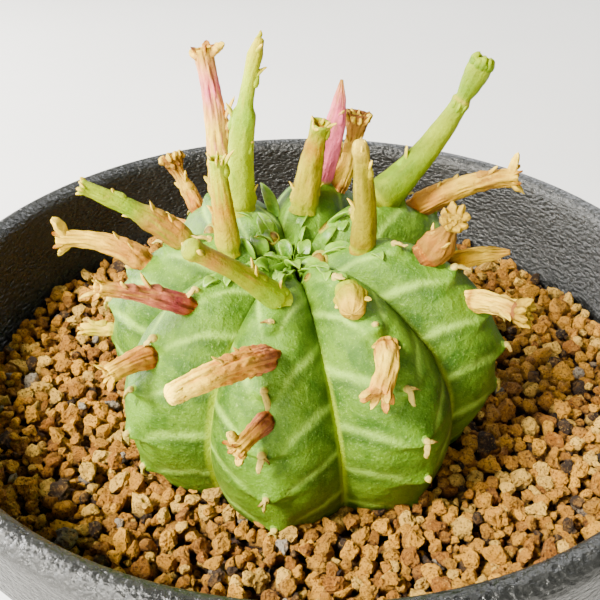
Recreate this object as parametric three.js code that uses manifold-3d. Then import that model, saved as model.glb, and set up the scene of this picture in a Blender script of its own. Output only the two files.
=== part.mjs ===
// A ribbed globe euphorbia with old and fresh flower stalks, in a round plastic pot.
// Millimetres, +Z up. The origin is the centre of the pot's foot, on the surface it stands on.

import * as THREE from 'three';
import { mergeVertices } from 'three/addons/utils/BufferGeometryUtils.js';
import Module from 'manifold-3d';

const wasm = await Module();
wasm.setup();

// ---- Driving dimensions -------------------------------------------------------------------

const GAP = 0.3; // clearance left between pieces that touch

// Pot
const POT_RADIUS = 60; // outside of the rim
const POT_HEIGHT = 84;
const RIM_WIDTH = 4.2; // across the rounded lip
const RIM_DROP = 11; // height of the rim band
const RIM_STEP = 2.6; // how far the wall's top sits inside the rim's outside
const RIM_EDGE = 1.2; // rounding of the rim band's lower edge
const WALL = 2.2;
const FOOT_RADIUS = 42; // outside of the foot ring
const FOOT_WIDTH = 5;
const FOOT_HEIGHT = 4; // floor's underside above the table
const FOOT_EDGE = 0.8; // bevel at the foot
const FLOOR = 2.4;
const FLOOR_CORNER = [3, 4]; // slope where the floor meets the wall: width and height
const FOOT_NOTCHES = 4;
const NOTCH_WIDTH = 8;
const NOTCH_HEIGHT = 2.2;
const DRAIN_RADIUS = 5;
const POT_SIDES = 56;
const LIP_STEPS = 6;

// Drain net
const NET_SIDES = 32;
const NET_RADIUS = 13;
const NET_THICKNESS = 0.9;
const NET_PITCH = 4.2;
const NET_OPENING = 2.8;
const NET_EDGE = 0.8; // unbroken rim round the lattice

// Soil
const SOIL_DEPTH_BELOW_RIM = 17;
const SOIL_MOUND = 0.8; // rise towards the plant
const MOUND_RADIUS = 37; // where the rise ends

// Plant: a leaning, ribbed globe that sits partly in the soil
const GLOBE_RADIUS = 28; // to the rib crests
const GLOBE_RISE = 20.5; // equator to the rib tops
const GLOBE_DROP = 27; // equator to the underside
const GLOBE_OFFSET = { x: -1.5, y: -8 }; // from the pot's axis
const EQUATOR_ABOVE_SOIL = 14;
const CROWN_DIP = 5.5; // depth of the sunken crown
const CROWN_WIDTH = 9;
const SHOULDER = 0.35; // how much of a furrow also cuts down into the top of the globe
const LEAN_LEFT = 4.8; // degrees
const LEAN_FORWARD = 7.4; // degrees
const RIB_AZIMUTHS = [-142, -98, -53, -9, 32, 78, 123, 168]; // degrees from -Y, positive towards +X
const RIB_STEPS = 8; // facets across one rib
const GLOBE_RINGS = 22;
const ROOT_SIDES = 16;
const ROOT_RADIUS = 9;
const ROOT_LENGTH = 24; // below the globe
const ROOT_TIP = 1.5; // radius at the root's end
const ROOT_OVERLAP = 8; // how far the root runs up into the globe
const CUT = GAP + 0.1; // allowance that the soil, stalks and leaves are cut back by
const FURROW_DEPTHS = [ // share of the local radius, by polar angle in degrees
  [0, 0.55], [12, 0.5], [30, 0.36], [60, 0.22], [90, 0.15], [130, 0.09], [180, 0.05],
];

// Flower stalks. turn: where the stalk grows, counted in ribs around the globe (a whole number is a
// crest), polar: degrees from the crown, start and end: [heading, rise] in degrees of the first and
// last stretch, ends: base and tip radius, tip: how it ends,
// bracts: [share of the length, side in degrees around the stalk, length].
const STALKS = [
  {
    turn: 7.9, polar: 45, start: [150, 86], end: [-110, 80], length: 22,
    ends: [1.7, 1.3], tip: 'fork', bracts: [[0.66, 80, 3]],
  },
  {
    turn: 0, polar: 23, start: [-95, 84], end: [85, 70], length: 24,
    ends: [1.75, 1.0], tip: 'fork', bracts: [[0.3, 80, 2.2], [0.7, 250, 4]],
  },
  {
    turn: 1.15, polar: 18.5, start: [-95, 86], end: [-110, 86], length: 13,
    ends: [1.65, 0.95], tip: 'cut', bracts: [[0.45, 90, 2.2], [0.62, 270, 2.4]],
  },
  {
    turn: 3, polar: 25, start: [-45, 42], end: [-58, 46], length: 16.5,
    ends: [1.6, 1.15], tip: 'cut', bracts: [[0.2, 70, 2.6], [0.5, 190, 2.4]],
  },
  {
    turn: 1, polar: 31, start: [-85, 44], end: [-78, 28], length: 16,
    ends: [1.9, 1.05], tip: 'cut', bracts: [[0.55, 100, 2]],
  },
  {
    turn: 1, polar: 49, start: [-85, 40], end: [-92, 0], length: 12,
    ends: [1.6, 1.2], tip: 'fork', bracts: [[0.4, 200, 2]],
  },
  {
    turn: 2, polar: 37, start: [-52, 30], end: [-54, 34], length: 13.4,
    ends: [1.5, 0.9], tip: 'shreds', bracts: [[0.5, 180, 2.4]],
  },
  {
    turn: 2, polar: 56, start: [-45, 22], end: [-42, -4], length: 8.5,
    ends: [1.5, 1.2], tip: 'head', bracts: [],
  },
  {
    turn: 3, polar: 44, start: [-24, 22], end: [-50, 12], length: 16.5,
    ends: [1.75, 1.45], tip: 'shreds', bracts: [[0.5, 200, 2]],
  },
  {
    turn: 3, polar: 62, start: [-20, 16], end: [-42, -6], length: 7.5,
    ends: [1.3, 1.15], tip: 'fork', bracts: [],
  },
  {
    turn: 4, polar: 48, start: [6, 14], end: [-22, -30], length: 9.5,
    ends: [1.9, 1.5], tip: 'fork', bracts: [],
  },
  {
    turn: 4, polar: 29, start: [14, 16], end: [-4, -6], length: 4.2,
    ends: [2.1, 2.0], tip: 'fork', bracts: [],
  },
  {
    turn: 5, polar: 20, start: [40, 84], end: [-70, 80], length: 15,
    ends: [1.7, 1.0], tip: 'cut', bracts: [[0.5, 270, 3], [0.92, 90, 1.4]],
  },
  {
    turn: 7, polar: 18, start: [150, 76], end: [60, 74], length: 12.5,
    ends: [1.9, 1.15], tip: 'cut', bracts: [[0.3, 260, 2.4], [0.36, 80, 2]],
  },
  {
    turn: 6.92, polar: 35, start: [100, 74], end: [110, 84], length: 15.5,
    ends: [1.25, 0.6], tip: 'point', bracts: [],
  },
  {
    turn: 6.75, polar: 42, start: [120, 62], end: [150, 78], length: 11.5,
    ends: [1.4, 1.2], tip: 'head', bracts: [[0.5, 200, 2]],
  },
  {
    turn: 6.1, polar: 34.5, start: [104, 44], end: [96, 66], length: 23.5,
    ends: [2.7, 1.4], tip: 'bud', bracts: [[0.34, 270, 2.4], [0.62, 90, 1.8]],
  },
  {
    turn: 6, polar: 50, start: [84, 32], end: [86, 14], length: 15,
    ends: [1.8, 1.6], tip: 'fork', bracts: [[0.7, 60, 2]],
  },
  {
    turn: 5.05, polar: 39.5, start: [92, 36], end: [60, 80], length: 6.2,
    ends: [2.3, 1.6], tip: 'head', bracts: [],
  },
  {
    turn: 4.92, polar: 59.5, start: [62, 20], end: [40, 2], length: 7.5,
    ends: [1.5, 1.3], tip: 'head', bracts: [[0.8, 180, 2.4]],
  },
  {
    turn: 5.3, polar: 55, start: [84, 20], end: [78, 16], length: 8.5,
    ends: [1.2, 0.7], tip: 'point', bracts: [],
  },
  {
    turn: 0, polar: 60, start: [-135, 46], end: [-128, 60], length: 9.5,
    ends: [1.4, 1.1], tip: 'head', bracts: [[0.5, 100, 2.6]],
  },
  {
    turn: 1, polar: 89, start: [-96, 6], end: [-88, -6], length: 5,
    ends: [1.1, 0.9], tip: 'cut', bracts: [],
  },
  {
    turn: 7, polar: 64, start: [166, 20], end: [176, 6], length: 9,
    ends: [1.5, 1.2], tip: 'shreds', bracts: [[0.5, 200, 2]],
  },
  {
    turn: 0, polar: 80, start: [-140, 6], end: [-132, -8], length: 6.5,
    ends: [1.3, 1.1], tip: 'fork', bracts: [],
  },
];
const STALK_SIDES = 7;
const STALK_RINGS = 5;
const BRACT_SIDES = 4;
const BRACT_RINGS = 3;
const BRACT_FLATNESS = 0.6; // thickness over width
const BRACT_SPREAD = 0.55; // 0 points along the stalk, 1 points straight out
const TIP_PLACE = 0.95; // share of the length where the lobes of the tip grow
const BUD_FLARE = 1.25; // how much wider a bud is than its stalk
const BUD_START = 0.8; // share of the length where a bud begins
const STALK_TAPER_END = 0.7; // share of the length where a stalk stops tapering
// Lobes at a stalk's end: side in degrees, length, spread
const TIPS = {
  cut: [],
  point: [],
  fork: [[20, 2.6, 0.45], [200, 3, 0.5]],
  shreds: [[40, 2.2, 0.25], [170, 1.8, 0.3], [290, 2.4, 0.3]],
  head: [[0, 2.4, 0.6], [72, 2.6, 0.65], [144, 2.2, 0.6], [216, 2.5, 0.65], [288, 2.3, 0.6]],
  bud: [[0, 2, 0.3], [120, 2, 0.35], [240, 2, 0.3]],
};
const STALK_SINK = 2.2; // how far the stalk's axis starts inside the globe before the cut

// Young leaves on the crown. azimuth and polar: where a leaf grows, in degrees around the globe and
// from the crown. heading and rise: the way it points, in degrees.
const LEAVES = [
  { azimuth: -164, polar: 30, heading: -150, rise: 62, length: 5.0, width: 2.0 },
  { azimuth: 96, polar: 12, heading: 84, rise: 24, length: 5.4, width: 2.2 },
  { azimuth: 130, polar: 16, heading: 60, rise: 62, length: 3.6, width: 1.6 },
  { azimuth: -20, polar: 10, heading: -10, rise: 52, length: 3.4, width: 1.7 },
  { azimuth: -118, polar: 10, heading: -100, rise: 54, length: 3.2, width: 1.6 },
  { azimuth: -56, polar: 15, heading: -36, rise: 44, length: 3.8, width: 1.7 },
  { azimuth: 40, polar: 10, heading: 40, rise: 44, length: 3.2, width: 1.6 },
  { azimuth: -150, polar: 12, heading: -130, rise: 56, length: 3.4, width: 1.6 },
];
const LEAF_SIDES = 8;
const LEAF_RINGS = 5;
const LEAF_FLATNESS = 0.45; // thickness over width
const LEAF_SINK = 1.2; // how far a leaf's axis starts inside the globe before the cut
const LEAF_DROOP = 35; // degrees that a leaf bends over along its length

// ---- Materials ----------------------------------------------------------------------------

function material(color, roughness) {
  return new THREE.MeshStandardMaterial({ color, roughness, metalness: 0 });
}

const POT_BLACK = material(0x242624, 0.42);
const NET_BLACK = material(0x303230, 0.6);
const SOIL_BROWN = material(0xa87440, 0.95);
const GLOBE_GREEN = material(0x6f9342, 0.55);
const LEAF_GREEN = material(0x6f9a2c, 0.5);
const STALK_LIME = material(0xb9c84a, 0.55);
const STALK_YELLOW = material(0xd6b552, 0.6);
const STALK_CREAM = material(0xe8c795, 0.7);
const STALK_PINK = material(0xd39a8c, 0.65);
const STALK_BROWN = material(0xa57b4e, 0.85);
const STALK_MATERIALS = [
  STALK_CREAM, STALK_LIME, STALK_YELLOW, STALK_LIME, STALK_LIME, STALK_CREAM, STALK_PINK, STALK_PINK,
  STALK_CREAM, STALK_PINK, STALK_CREAM, STALK_YELLOW, STALK_YELLOW, STALK_YELLOW, STALK_PINK, STALK_BROWN,
  STALK_LIME, STALK_CREAM, STALK_PINK, STALK_CREAM, STALK_BROWN, STALK_BROWN, STALK_YELLOW, STALK_BROWN,
  STALK_CREAM,
];

// ---- Helpers ------------------------------------------------------------------------------

const radians = THREE.MathUtils.degToRad;
const lerp = THREE.MathUtils.lerp;
const soilTop = POT_HEIGHT - SOIL_DEPTH_BELOW_RIM;
const floorTop = FOOT_HEIGHT + FLOOR;

function toSolid(geometry) {
  const bare = geometry.clone();
  bare.deleteAttribute('normal');
  bare.deleteAttribute('uv');
  const merged = mergeVertices(bare, 1e-5);
  const mesh = new wasm.Mesh({
    numProp: 3,
    vertProperties: Float32Array.from(merged.attributes.position.array),
    triVerts: Uint32Array.from(merged.index.array),
  });
  return new wasm.Manifold(mesh);
}

function toGeometry(solid) {
  const { vertProperties, triVerts } = solid.getMesh();
  const geometry = new THREE.BufferGeometry();
  geometry.setAttribute('position', new THREE.BufferAttribute(Float32Array.from(vertProperties), 3));
  geometry.setIndex(Array.from(triVerts));
  geometry.computeVertexNormals();
  return geometry;
}

// A lathe turned about +Z. Points are [radius, height], in order from the bottom up the outside.
function turned(points, sides) {
  const profile = points.map(([r, z]) => new THREE.Vector2(r, z));
  return new THREE.LatheGeometry(profile, sides).rotateX(Math.PI / 2);
}

// Unit vector from a heading (degrees from -Y towards +X) and a rise above the horizontal
function direction([heading, rise]) {
  const h = radians(heading);
  const r = radians(rise);
  return new THREE.Vector3(Math.sin(h) * Math.cos(r), -Math.cos(h) * Math.cos(r), Math.sin(r));
}

// A smooth curve that leaves `from` along `start` and ends pointing along `end`
function bentPath(from, start, end, length, steps) {
  const points = [from.clone()];
  for (let i = 1; i <= steps; i += 1) {
    const way = start.clone().lerp(end, (i - 0.5) / steps).normalize();
    points.push(points[i - 1].clone().addScaledVector(way, length / steps));
  }
  return new THREE.CatmullRomCurve3(points);
}

// A round bar of changing radius bent along a curve. radiusAt takes the share of the length.
function bentBar(curve, radiusAt, sides, rings, flatness = 1) {
  const profile = [[0, 0]];
  for (let i = 0; i <= rings; i += 1) {
    const r = radiusAt(i / rings);
    profile.push([Math.max(r, 0), i]);
  }
  if (profile[profile.length - 1][0] > 0) {
    profile.push([0, rings]);
  }
  const geometry = turned(profile, sides);
  const frames = curve.computeFrenetFrames(rings, false);
  const position = geometry.attributes.position;
  for (let i = 0; i < position.count; i += 1) {
    const ring = Math.round(position.getZ(i));
    const place = curve.getPointAt(ring / rings);
    place.addScaledVector(frames.normals[ring], position.getX(i));
    place.addScaledVector(frames.binormals[ring], position.getY(i) * flatness);
    position.setXYZ(i, place.x, place.y, place.z);
  }
  return geometry;
}

// ---- Plant globe --------------------------------------------------------------------------

function furrowDepth(polar) {
  const degrees = THREE.MathUtils.radToDeg(polar);
  const i = Math.max(1, FURROW_DEPTHS.findIndex(([angle]) => angle >= degrees));
  const [a0, d0] = FURROW_DEPTHS[i - 1];
  const [a1, d1] = FURROW_DEPTHS[i];
  return lerp(d0, d1, (degrees - a0) / (a1 - a0));
}

// turn runs from 0 to 8 around the plant: whole numbers are crests, halves are furrows
function ribAzimuth(turn) {
  const rib = Math.floor(turn) % RIB_AZIMUTHS.length;
  const here = RIB_AZIMUTHS[rib];
  const next = RIB_AZIMUTHS[(rib + 1) % RIB_AZIMUTHS.length];
  const step = next > here ? next - here : next + 360 - here;
  return here + step * (turn - Math.floor(turn));
}

function ribTurn(azimuth) {
  for (let turn = 0; turn < RIB_AZIMUTHS.length; turn += 1) {
    const here = ribAzimuth(turn);
    const step = ribAzimuth(turn + 0.5) - here;
    const ahead = (((azimuth - here) % 360) + 360) % 360;
    if (ahead < 2 * step) {
      return turn + ahead / (2 * step);
    }
  }
  return 0;
}

const lean = new THREE.Matrix4()
  .makeTranslation(GLOBE_OFFSET.x, GLOBE_OFFSET.y, soilTop + EQUATOR_ABOVE_SOIL)
  .multiply(new THREE.Matrix4().makeRotationY(-radians(LEAN_LEFT)))
  .multiply(new THREE.Matrix4().makeRotationX(radians(LEAN_FORWARD)));

// A point of the globe's surface, grown outward by `grow`
function globePoint(turn, polar, grow = 0) {
  const azimuth = radians(ribAzimuth(turn));
  const fromCrest = 1 - Math.abs(2 * (turn - Math.floor(turn)) - 1);
  const furrow = furrowDepth(polar) * fromCrest ** 2;
  const reach = GLOBE_RADIUS * Math.sin(polar);
  const above = polar < Math.PI / 2;
  const height = (above ? GLOBE_RISE : GLOBE_DROP) * Math.cos(polar);
  const crown = CROWN_DIP * Math.exp(-((reach / CROWN_WIDTH) ** 2));
  const shoulder = above ? SHOULDER * furrow * height : 0;
  const r = reach * (1 - furrow) + grow * Math.sin(polar);
  const z = height - crown - shoulder + grow * Math.cos(polar);
  return new THREE.Vector3(r * Math.sin(azimuth), -r * Math.cos(azimuth), z).applyMatrix4(lean);
}

function globeSolid(grow) {
  const sides = RIB_AZIMUTHS.length * RIB_STEPS;
  const geometry = new THREE.SphereGeometry(1, sides, GLOBE_RINGS).rotateX(Math.PI / 2);
  const position = geometry.attributes.position;
  for (let i = 0; i < position.count; i += 1) {
    const at = new THREE.Vector3().fromBufferAttribute(position, i);
    const polar = Math.acos(THREE.MathUtils.clamp(at.z, -1, 1));
    const around = (Math.atan2(at.x, -at.y) / (2 * Math.PI) + 1) % 1;
    const turn = (Math.round(around * sides) % sides) / RIB_STEPS;
    const place = globePoint(turn, polar, grow);
    position.setXYZ(i, place.x, place.y, place.z);
  }
  return toSolid(geometry);
}

// The tap root hangs from the underside of the globe
function rootSolid(grow) {
  const top = soilTop + EQUATOR_ABOVE_SOIL - GLOBE_DROP;
  const profile = [
    [0, top - ROOT_LENGTH - grow],
    [ROOT_TIP + grow, top - ROOT_LENGTH - grow],
    [ROOT_RADIUS / 2 + grow, top - ROOT_LENGTH / 2],
    [ROOT_RADIUS + grow, top],
    [ROOT_RADIUS + grow, top + ROOT_OVERLAP],
    [0, top + ROOT_OVERLAP],
  ];
  return toSolid(turned(profile, ROOT_SIDES).translate(GLOBE_OFFSET.x, GLOBE_OFFSET.y, 0));
}

const plant = globeSolid(0).add(rootSolid(0));
const plantClearance = globeSolid(CUT).add(rootSolid(CUT));

// ---- Flower stalks ------------------------------------------------------------------------

const bractShape = (width) => (share) => (share < 1 ? width * Math.cos(share * Math.PI / 2) ** 0.7 : 0);

// A small pointed bract or lobe that leaves the stalk and curls
function bract(from, way, curl, length, width) {
  const end = way.clone().add(curl).normalize();
  const path = bentPath(from.clone().addScaledVector(way, -width), way, end, length + width, 3);
  return toSolid(bentBar(path, bractShape(width), BRACT_SIDES, BRACT_RINGS, BRACT_FLATNESS));
}

function stalkSolid(stalk) {
  const polar = radians(stalk.polar);
  const root = globePoint(stalk.turn, polar);
  const start = direction(stalk.start);
  const end = direction(stalk.end);
  const from = root.clone().addScaledVector(start, -STALK_SINK);
  const path = bentPath(from, start, end, stalk.length + STALK_SINK, STALK_RINGS);
  const [baseRadius, tipRadius] = stalk.ends;
  const radiusAt = (share) => {
    if (stalk.tip === 'point') {
      return share < 1 ? lerp(baseRadius, tipRadius, share) * Math.sqrt(1 - share ** 3) : 0;
    }
    const flare = stalk.tip === 'bud' && share > BUD_START ? BUD_FLARE : 1;
    return lerp(baseRadius, tipRadius, Math.min(share / STALK_TAPER_END, 1)) * flare;
  };
  let solid = toSolid(bentBar(path, radiusAt, STALK_SIDES, STALK_RINGS));
  const frames = path.computeFrenetFrames(STALK_RINGS, false);
  const sideOf = (share, angle) => {
    const ring = Math.round(share * STALK_RINGS);
    const out = frames.normals[ring].clone().multiplyScalar(Math.cos(radians(angle)));
    return out.addScaledVector(frames.binormals[ring], Math.sin(radians(angle)));
  };
  const addBract = (share, angle, length, width, spread) => {
    const side = sideOf(share, angle);
    const way = path.getTangentAt(share).multiplyScalar(1 - spread).addScaledVector(side, spread);
    const at = path.getPointAt(share).addScaledVector(side, radiusAt(share) / 2);
    solid = solid.add(bract(at, way.normalize(), side.multiplyScalar(0.6), length, width));
  };
  for (const [share, angle, length] of stalk.bracts) {
    addBract(share, angle, length, tipRadius * 0.75, BRACT_SPREAD);
  }
  for (const [angle, length, spread] of TIPS[stalk.tip]) {
    addBract(TIP_PLACE, angle, length, tipRadius * 0.8, spread);
  }
  return solid.subtract(plantClearance);
}

// ---- Young leaves -------------------------------------------------------------------------

// A leaf's width along it: widest a third of the way up, pointed at the end
const leafOutline = (share) => Math.sin(Math.PI * lerp(0.28, 1, share)) ** 0.8;

function leafSolid(leaf) {
  const root = globePoint(ribTurn(leaf.azimuth), radians(leaf.polar));
  const start = direction([leaf.heading, leaf.rise]);
  const end = direction([leaf.heading, leaf.rise - LEAF_DROOP]);
  const from = root.addScaledVector(start, -LEAF_SINK);
  const path = bentPath(from, start, end, leaf.length + LEAF_SINK, LEAF_RINGS);
  const outline = (share) => (share < 1 ? 0.5 * leaf.width * leafOutline(share) : 0);
  const leafBar = bentBar(path, outline, LEAF_SIDES, LEAF_RINGS, LEAF_FLATNESS);
  return toSolid(leafBar).subtract(plantClearance);
}

// ---- Pot, net and soil --------------------------------------------------------------------

const rimInner = POT_RADIUS - RIM_WIDTH;
const [cornerWidth, cornerHeight] = FLOOR_CORNER;
const wallTopZ = POT_HEIGHT - RIM_DROP;
const wallTopRadius = POT_RADIUS - RIM_STEP;

function outerWall(z) {
  return lerp(FOOT_RADIUS, wallTopRadius, z / wallTopZ);
}

function innerWall(z) {
  const bandWall = lerp(outerWall(wallTopZ) - WALL, rimInner, (z - wallTopZ) / RIM_DROP);
  return z > wallTopZ ? bandWall : outerWall(z) - WALL;
}

function potSolid() {
  const lipRadius = RIM_WIDTH / 2;
  const profile = [
    [DRAIN_RADIUS, FOOT_HEIGHT],
    [FOOT_RADIUS - FOOT_WIDTH, FOOT_HEIGHT],
    [FOOT_RADIUS - FOOT_WIDTH, 0],
    [FOOT_RADIUS - FOOT_EDGE, 0],
    [FOOT_RADIUS, FOOT_EDGE],
    [outerWall(wallTopZ), wallTopZ],
    [POT_RADIUS - RIM_EDGE, wallTopZ],
    [POT_RADIUS - RIM_EDGE / 3, wallTopZ + RIM_EDGE],
  ];
  const lipCentre = POT_RADIUS - lipRadius;
  for (let i = 0; i <= LIP_STEPS; i += 1) {
    const angle = Math.PI * i / LIP_STEPS;
    const lipZ = POT_HEIGHT - lipRadius * (1 - Math.sin(angle));
    profile.push([lipCentre + lipRadius * Math.cos(angle), lipZ]);
  }
  profile.push([innerWall(wallTopZ), wallTopZ]);
  profile.push([innerWall(floorTop + cornerHeight), floorTop + cornerHeight]);
  profile.push([innerWall(floorTop) - cornerWidth, floorTop]);
  profile.push([DRAIN_RADIUS, floorTop]);
  profile.push([DRAIN_RADIUS, FOOT_HEIGHT]);
  let pot = toSolid(turned(profile, POT_SIDES));
  for (let i = 0; i < FOOT_NOTCHES; i += 1) {
    const notch = new THREE.BoxGeometry(NOTCH_WIDTH, FOOT_WIDTH * 3, NOTCH_HEIGHT * 2);
    notch.translate(0, FOOT_RADIUS - FOOT_WIDTH / 2, 0).rotateZ(2 * Math.PI * i / FOOT_NOTCHES);
    pot = pot.subtract(toSolid(notch));
  }
  return pot;
}

// A disc with a square lattice of openings
function netSolid() {
  const bottom = floorTop + GAP;
  const top = bottom + NET_THICKNESS;
  const disc = [[0, bottom], [NET_RADIUS, bottom], [NET_RADIUS, top], [0, top]];
  let net = toSolid(turned(disc, NET_SIDES));
  const reach = Math.floor(NET_RADIUS / NET_PITCH);
  for (let i = -reach; i <= reach; i += 1) {
    for (let j = -reach; j <= reach; j += 1) {
      const corner = Math.hypot(Math.abs(i), Math.abs(j)) * NET_PITCH + NET_OPENING * Math.SQRT1_2;
      if (corner < NET_RADIUS - NET_EDGE) {
        const opening = new THREE.BoxGeometry(NET_OPENING, NET_OPENING, NET_THICKNESS * 3);
        opening.translate(i * NET_PITCH, j * NET_PITCH, bottom);
        net = net.subtract(toSolid(opening));
      }
    }
  }
  return net;
}

function soilSolid() {
  const pocketTop = floorTop + NET_THICKNESS + 2 * GAP;
  const pocketRadius = NET_RADIUS + GAP;
  const bottom = floorTop + GAP;
  const profile = [
    [0, pocketTop],
    [pocketRadius, pocketTop],
    [pocketRadius, bottom],
    [innerWall(floorTop) - cornerWidth - GAP, bottom],
    [innerWall(floorTop + cornerHeight) - GAP, floorTop + cornerHeight],
    [innerWall(soilTop) - GAP, soilTop],
    [MOUND_RADIUS, soilTop + SOIL_MOUND],
    [0, soilTop + SOIL_MOUND],
  ];
  return toSolid(turned(profile, POT_SIDES)).subtract(plantClearance);
}

// ---- Assembly -----------------------------------------------------------------------------

const plantPot = new THREE.Group();

function place(name, geometry, look) {
  const mesh = new THREE.Mesh(geometry, look);
  mesh.name = name;
  plantPot.add(mesh);
}

const twoDigits = (number) => String(number).padStart(2, '0');

place('pot', toGeometry(potSolid()), POT_BLACK);
place('drain_net', toGeometry(netSolid()), NET_BLACK);
place('soil_bed', toGeometry(soilSolid()), SOIL_BROWN);
place('plant_body', toGeometry(plant), GLOBE_GREEN);
STALKS.forEach((stalk, i) => {
  place(`flower_stalk_${twoDigits(i + 1)}`, toGeometry(stalkSolid(stalk)), STALK_MATERIALS[i]);
});
LEAVES.forEach((leaf, i) => {
  place(`young_leaf_${twoDigits(i + 1)}`, toGeometry(leafSolid(leaf)), LEAF_GREEN);
});

export default plantPot;
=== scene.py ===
"""Looks of a potted ribbed euphorbia: skin, flower stalks, leaf remains, clay granules and pot."""

import math

import bmesh
import bpy
import numpy as np
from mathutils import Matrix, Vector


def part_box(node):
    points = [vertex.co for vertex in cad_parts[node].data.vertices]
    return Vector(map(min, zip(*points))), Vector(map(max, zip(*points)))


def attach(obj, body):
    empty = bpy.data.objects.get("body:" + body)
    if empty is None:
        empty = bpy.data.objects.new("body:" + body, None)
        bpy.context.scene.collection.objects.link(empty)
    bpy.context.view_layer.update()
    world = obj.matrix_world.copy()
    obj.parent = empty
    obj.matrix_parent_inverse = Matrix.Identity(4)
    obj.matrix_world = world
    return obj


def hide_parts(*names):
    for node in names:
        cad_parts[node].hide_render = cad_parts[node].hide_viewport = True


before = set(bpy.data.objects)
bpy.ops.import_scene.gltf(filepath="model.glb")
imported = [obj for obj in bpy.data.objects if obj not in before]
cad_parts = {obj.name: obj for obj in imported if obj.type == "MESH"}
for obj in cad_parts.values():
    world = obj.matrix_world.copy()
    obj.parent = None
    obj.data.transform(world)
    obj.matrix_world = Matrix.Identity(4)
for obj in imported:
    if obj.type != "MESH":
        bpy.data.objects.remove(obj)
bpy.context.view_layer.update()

MM = 0.001

# ---- Sizes, in millimetres ----------------------------------------------------------------

pot_high = np.array(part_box("pot")[1]) / MM
soil_low, soil_high = (np.array(corner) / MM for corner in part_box("soil_bed"))
net_high = np.array(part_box("drain_net")[1]) / MM

POT_RADIUS = pot_high[0]
POT_HEIGHT = pot_high[2]
SOIL_RADIUS = soil_high[0]
SOIL_MOUND = 0.8
SOIL_TOP = soil_high[2] - SOIL_MOUND
SOIL_BOTTOM = soil_low[2]

# The pot's own shape, as in the CAD part
RIM_WIDTH = 4.2
RIM_DROP = 11.0
RIM_STEP = 2.6
WALL = 2.2
FOOT_RADIUS = 42.0
FOOT_WIDTH = 5.0
FOOT_HEIGHT = 4.0
FLOOR_TOP = FOOT_HEIGHT + 2.4
DRAIN_RADIUS = 5.0
NOTCH_WIDTH = 8.0
NOTCH_HEIGHT = 2.2
WALL_TOP = POT_HEIGHT - RIM_DROP
SOIL_CLEARANCE = 2.5  # from the wall's outside to the loose soil

# The plant's own shape, as in the CAD part
GLOBE_RADIUS = 28.0
GLOBE_RISE = 20.5
GLOBE_DROP = 27.0
GLOBE_CENTRE = np.array([-1.5, -8.0, SOIL_TOP + 14.0])
CROWN_DIP = 5.5
CROWN_WIDTH = 9.0
CROWN_HEIGHT = 34.0  # above the soil
LEAN_LEFT = 4.8
LEAN_FORWARD = 7.4
RIB_AZIMUTHS = np.array([-142.0, -98, -53, -9, 32, 78, 123, 168])
RIB_STEPS = (np.roll(RIB_AZIMUTHS, -1) - RIB_AZIMUTHS) % 360
RIBS = len(RIB_AZIMUTHS)
FURROW_ANGLES = [0, 12, 30, 60, 90, 130, 180]
FURROW_DEPTHS = [0.55, 0.5, 0.36, 0.22, 0.15, 0.09, 0.05]
SHOULDER = 0.35  # how much of a furrow also cuts down into the top
ROOT_RADIUS = 9.0
ROOT_LENGTH = 24.0

# Where the leaf cushions sit down each rib, in degrees from the crown
CUSHIONS = [
    [12, 28, 46, 65, 83, 101, 119],
    [20, 38, 56, 74, 92, 110],
    [14, 33, 51, 69, 88, 104, 120],
    [17, 35, 54, 73, 91, 108],
    [23, 42, 62, 81, 98, 115],
    [12, 30, 49, 68, 87, 104, 120],
    [22, 41, 60, 79, 97, 114],
    [10, 27, 46, 65, 84, 102, 119],
]

# ---- Mesh helpers -------------------------------------------------------------------------


def add_mesh(name, points, faces, smooth=True, attributes=None):
    """A mesh object from points in millimetres. attributes: name to one value or colour per point."""
    mesh = bpy.data.meshes.new(name)
    faces = np.asarray(faces)
    sides = faces.shape[1]
    mesh.vertices.add(len(points))
    mesh.vertices.foreach_set("co", (np.asarray(points, float) * MM).ravel())
    mesh.loops.add(faces.size)
    mesh.loops.foreach_set("vertex_index", faces.ravel())
    mesh.polygons.add(len(faces))
    mesh.polygons.foreach_set("loop_start", np.arange(0, faces.size, sides))
    mesh.update(calc_edges=True)
    mesh.validate()
    mesh.polygons.foreach_set("use_smooth", np.full(len(mesh.polygons), smooth))
    for key, values in (attributes or {}).items():
        values = np.asarray(values, float)
        if values.ndim == 1:
            layer = mesh.attributes.new(key, "FLOAT", "POINT")
            layer.data.foreach_set("value", values)
        else:
            layer = mesh.attributes.new(key, "FLOAT_COLOR", "POINT")
            colours = np.ones((len(values), 4))
            colours[:, :3] = values
            layer.data.foreach_set("color", colours.ravel())
    piece = bpy.data.objects.new(name, mesh)
    bpy.context.scene.collection.objects.link(piece)
    return piece


def grid_faces(rows, columns, first=0, flip=False):
    """Quads of a grid that closes on itself along its columns."""
    row, column = np.meshgrid(np.arange(rows - 1), np.arange(columns), indexing="ij")
    here = row * columns + column
    beside = row * columns + (column + 1) % columns
    quads = np.stack([here, beside, beside + columns, here + columns], -1).reshape(-1, 4)
    return (quads[:, ::-1] if flip else quads) + first


class Patchwork:
    """Collects several lofted shapes into one mesh."""

    def __init__(self):
        self.points = []
        self.faces = []
        self.values = {}
        self.count = 0

    def add(self, points, faces, **values):
        self.points.append(points)
        self.faces.append(faces + self.count)
        for key, value in values.items():
            value = np.asarray(value, float)
            if value.ndim == 0 or (value.ndim == 1 and len(value) == 3 and len(points) != 3):
                value = np.broadcast_to(value, (len(points),) + value.shape)
            self.values.setdefault(key, []).append(value)
        self.count += len(points)

    def build(self, name, smooth=True):
        values = {key: np.concatenate(parts) for key, parts in self.values.items()}
        return add_mesh(name, np.concatenate(self.points), np.concatenate(self.faces), smooth, values)


def fade(value, low, width):
    """0 up to low, then a straight rise to 1 over this width."""
    return np.clip((value - low) / width, 0, 1)


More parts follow.
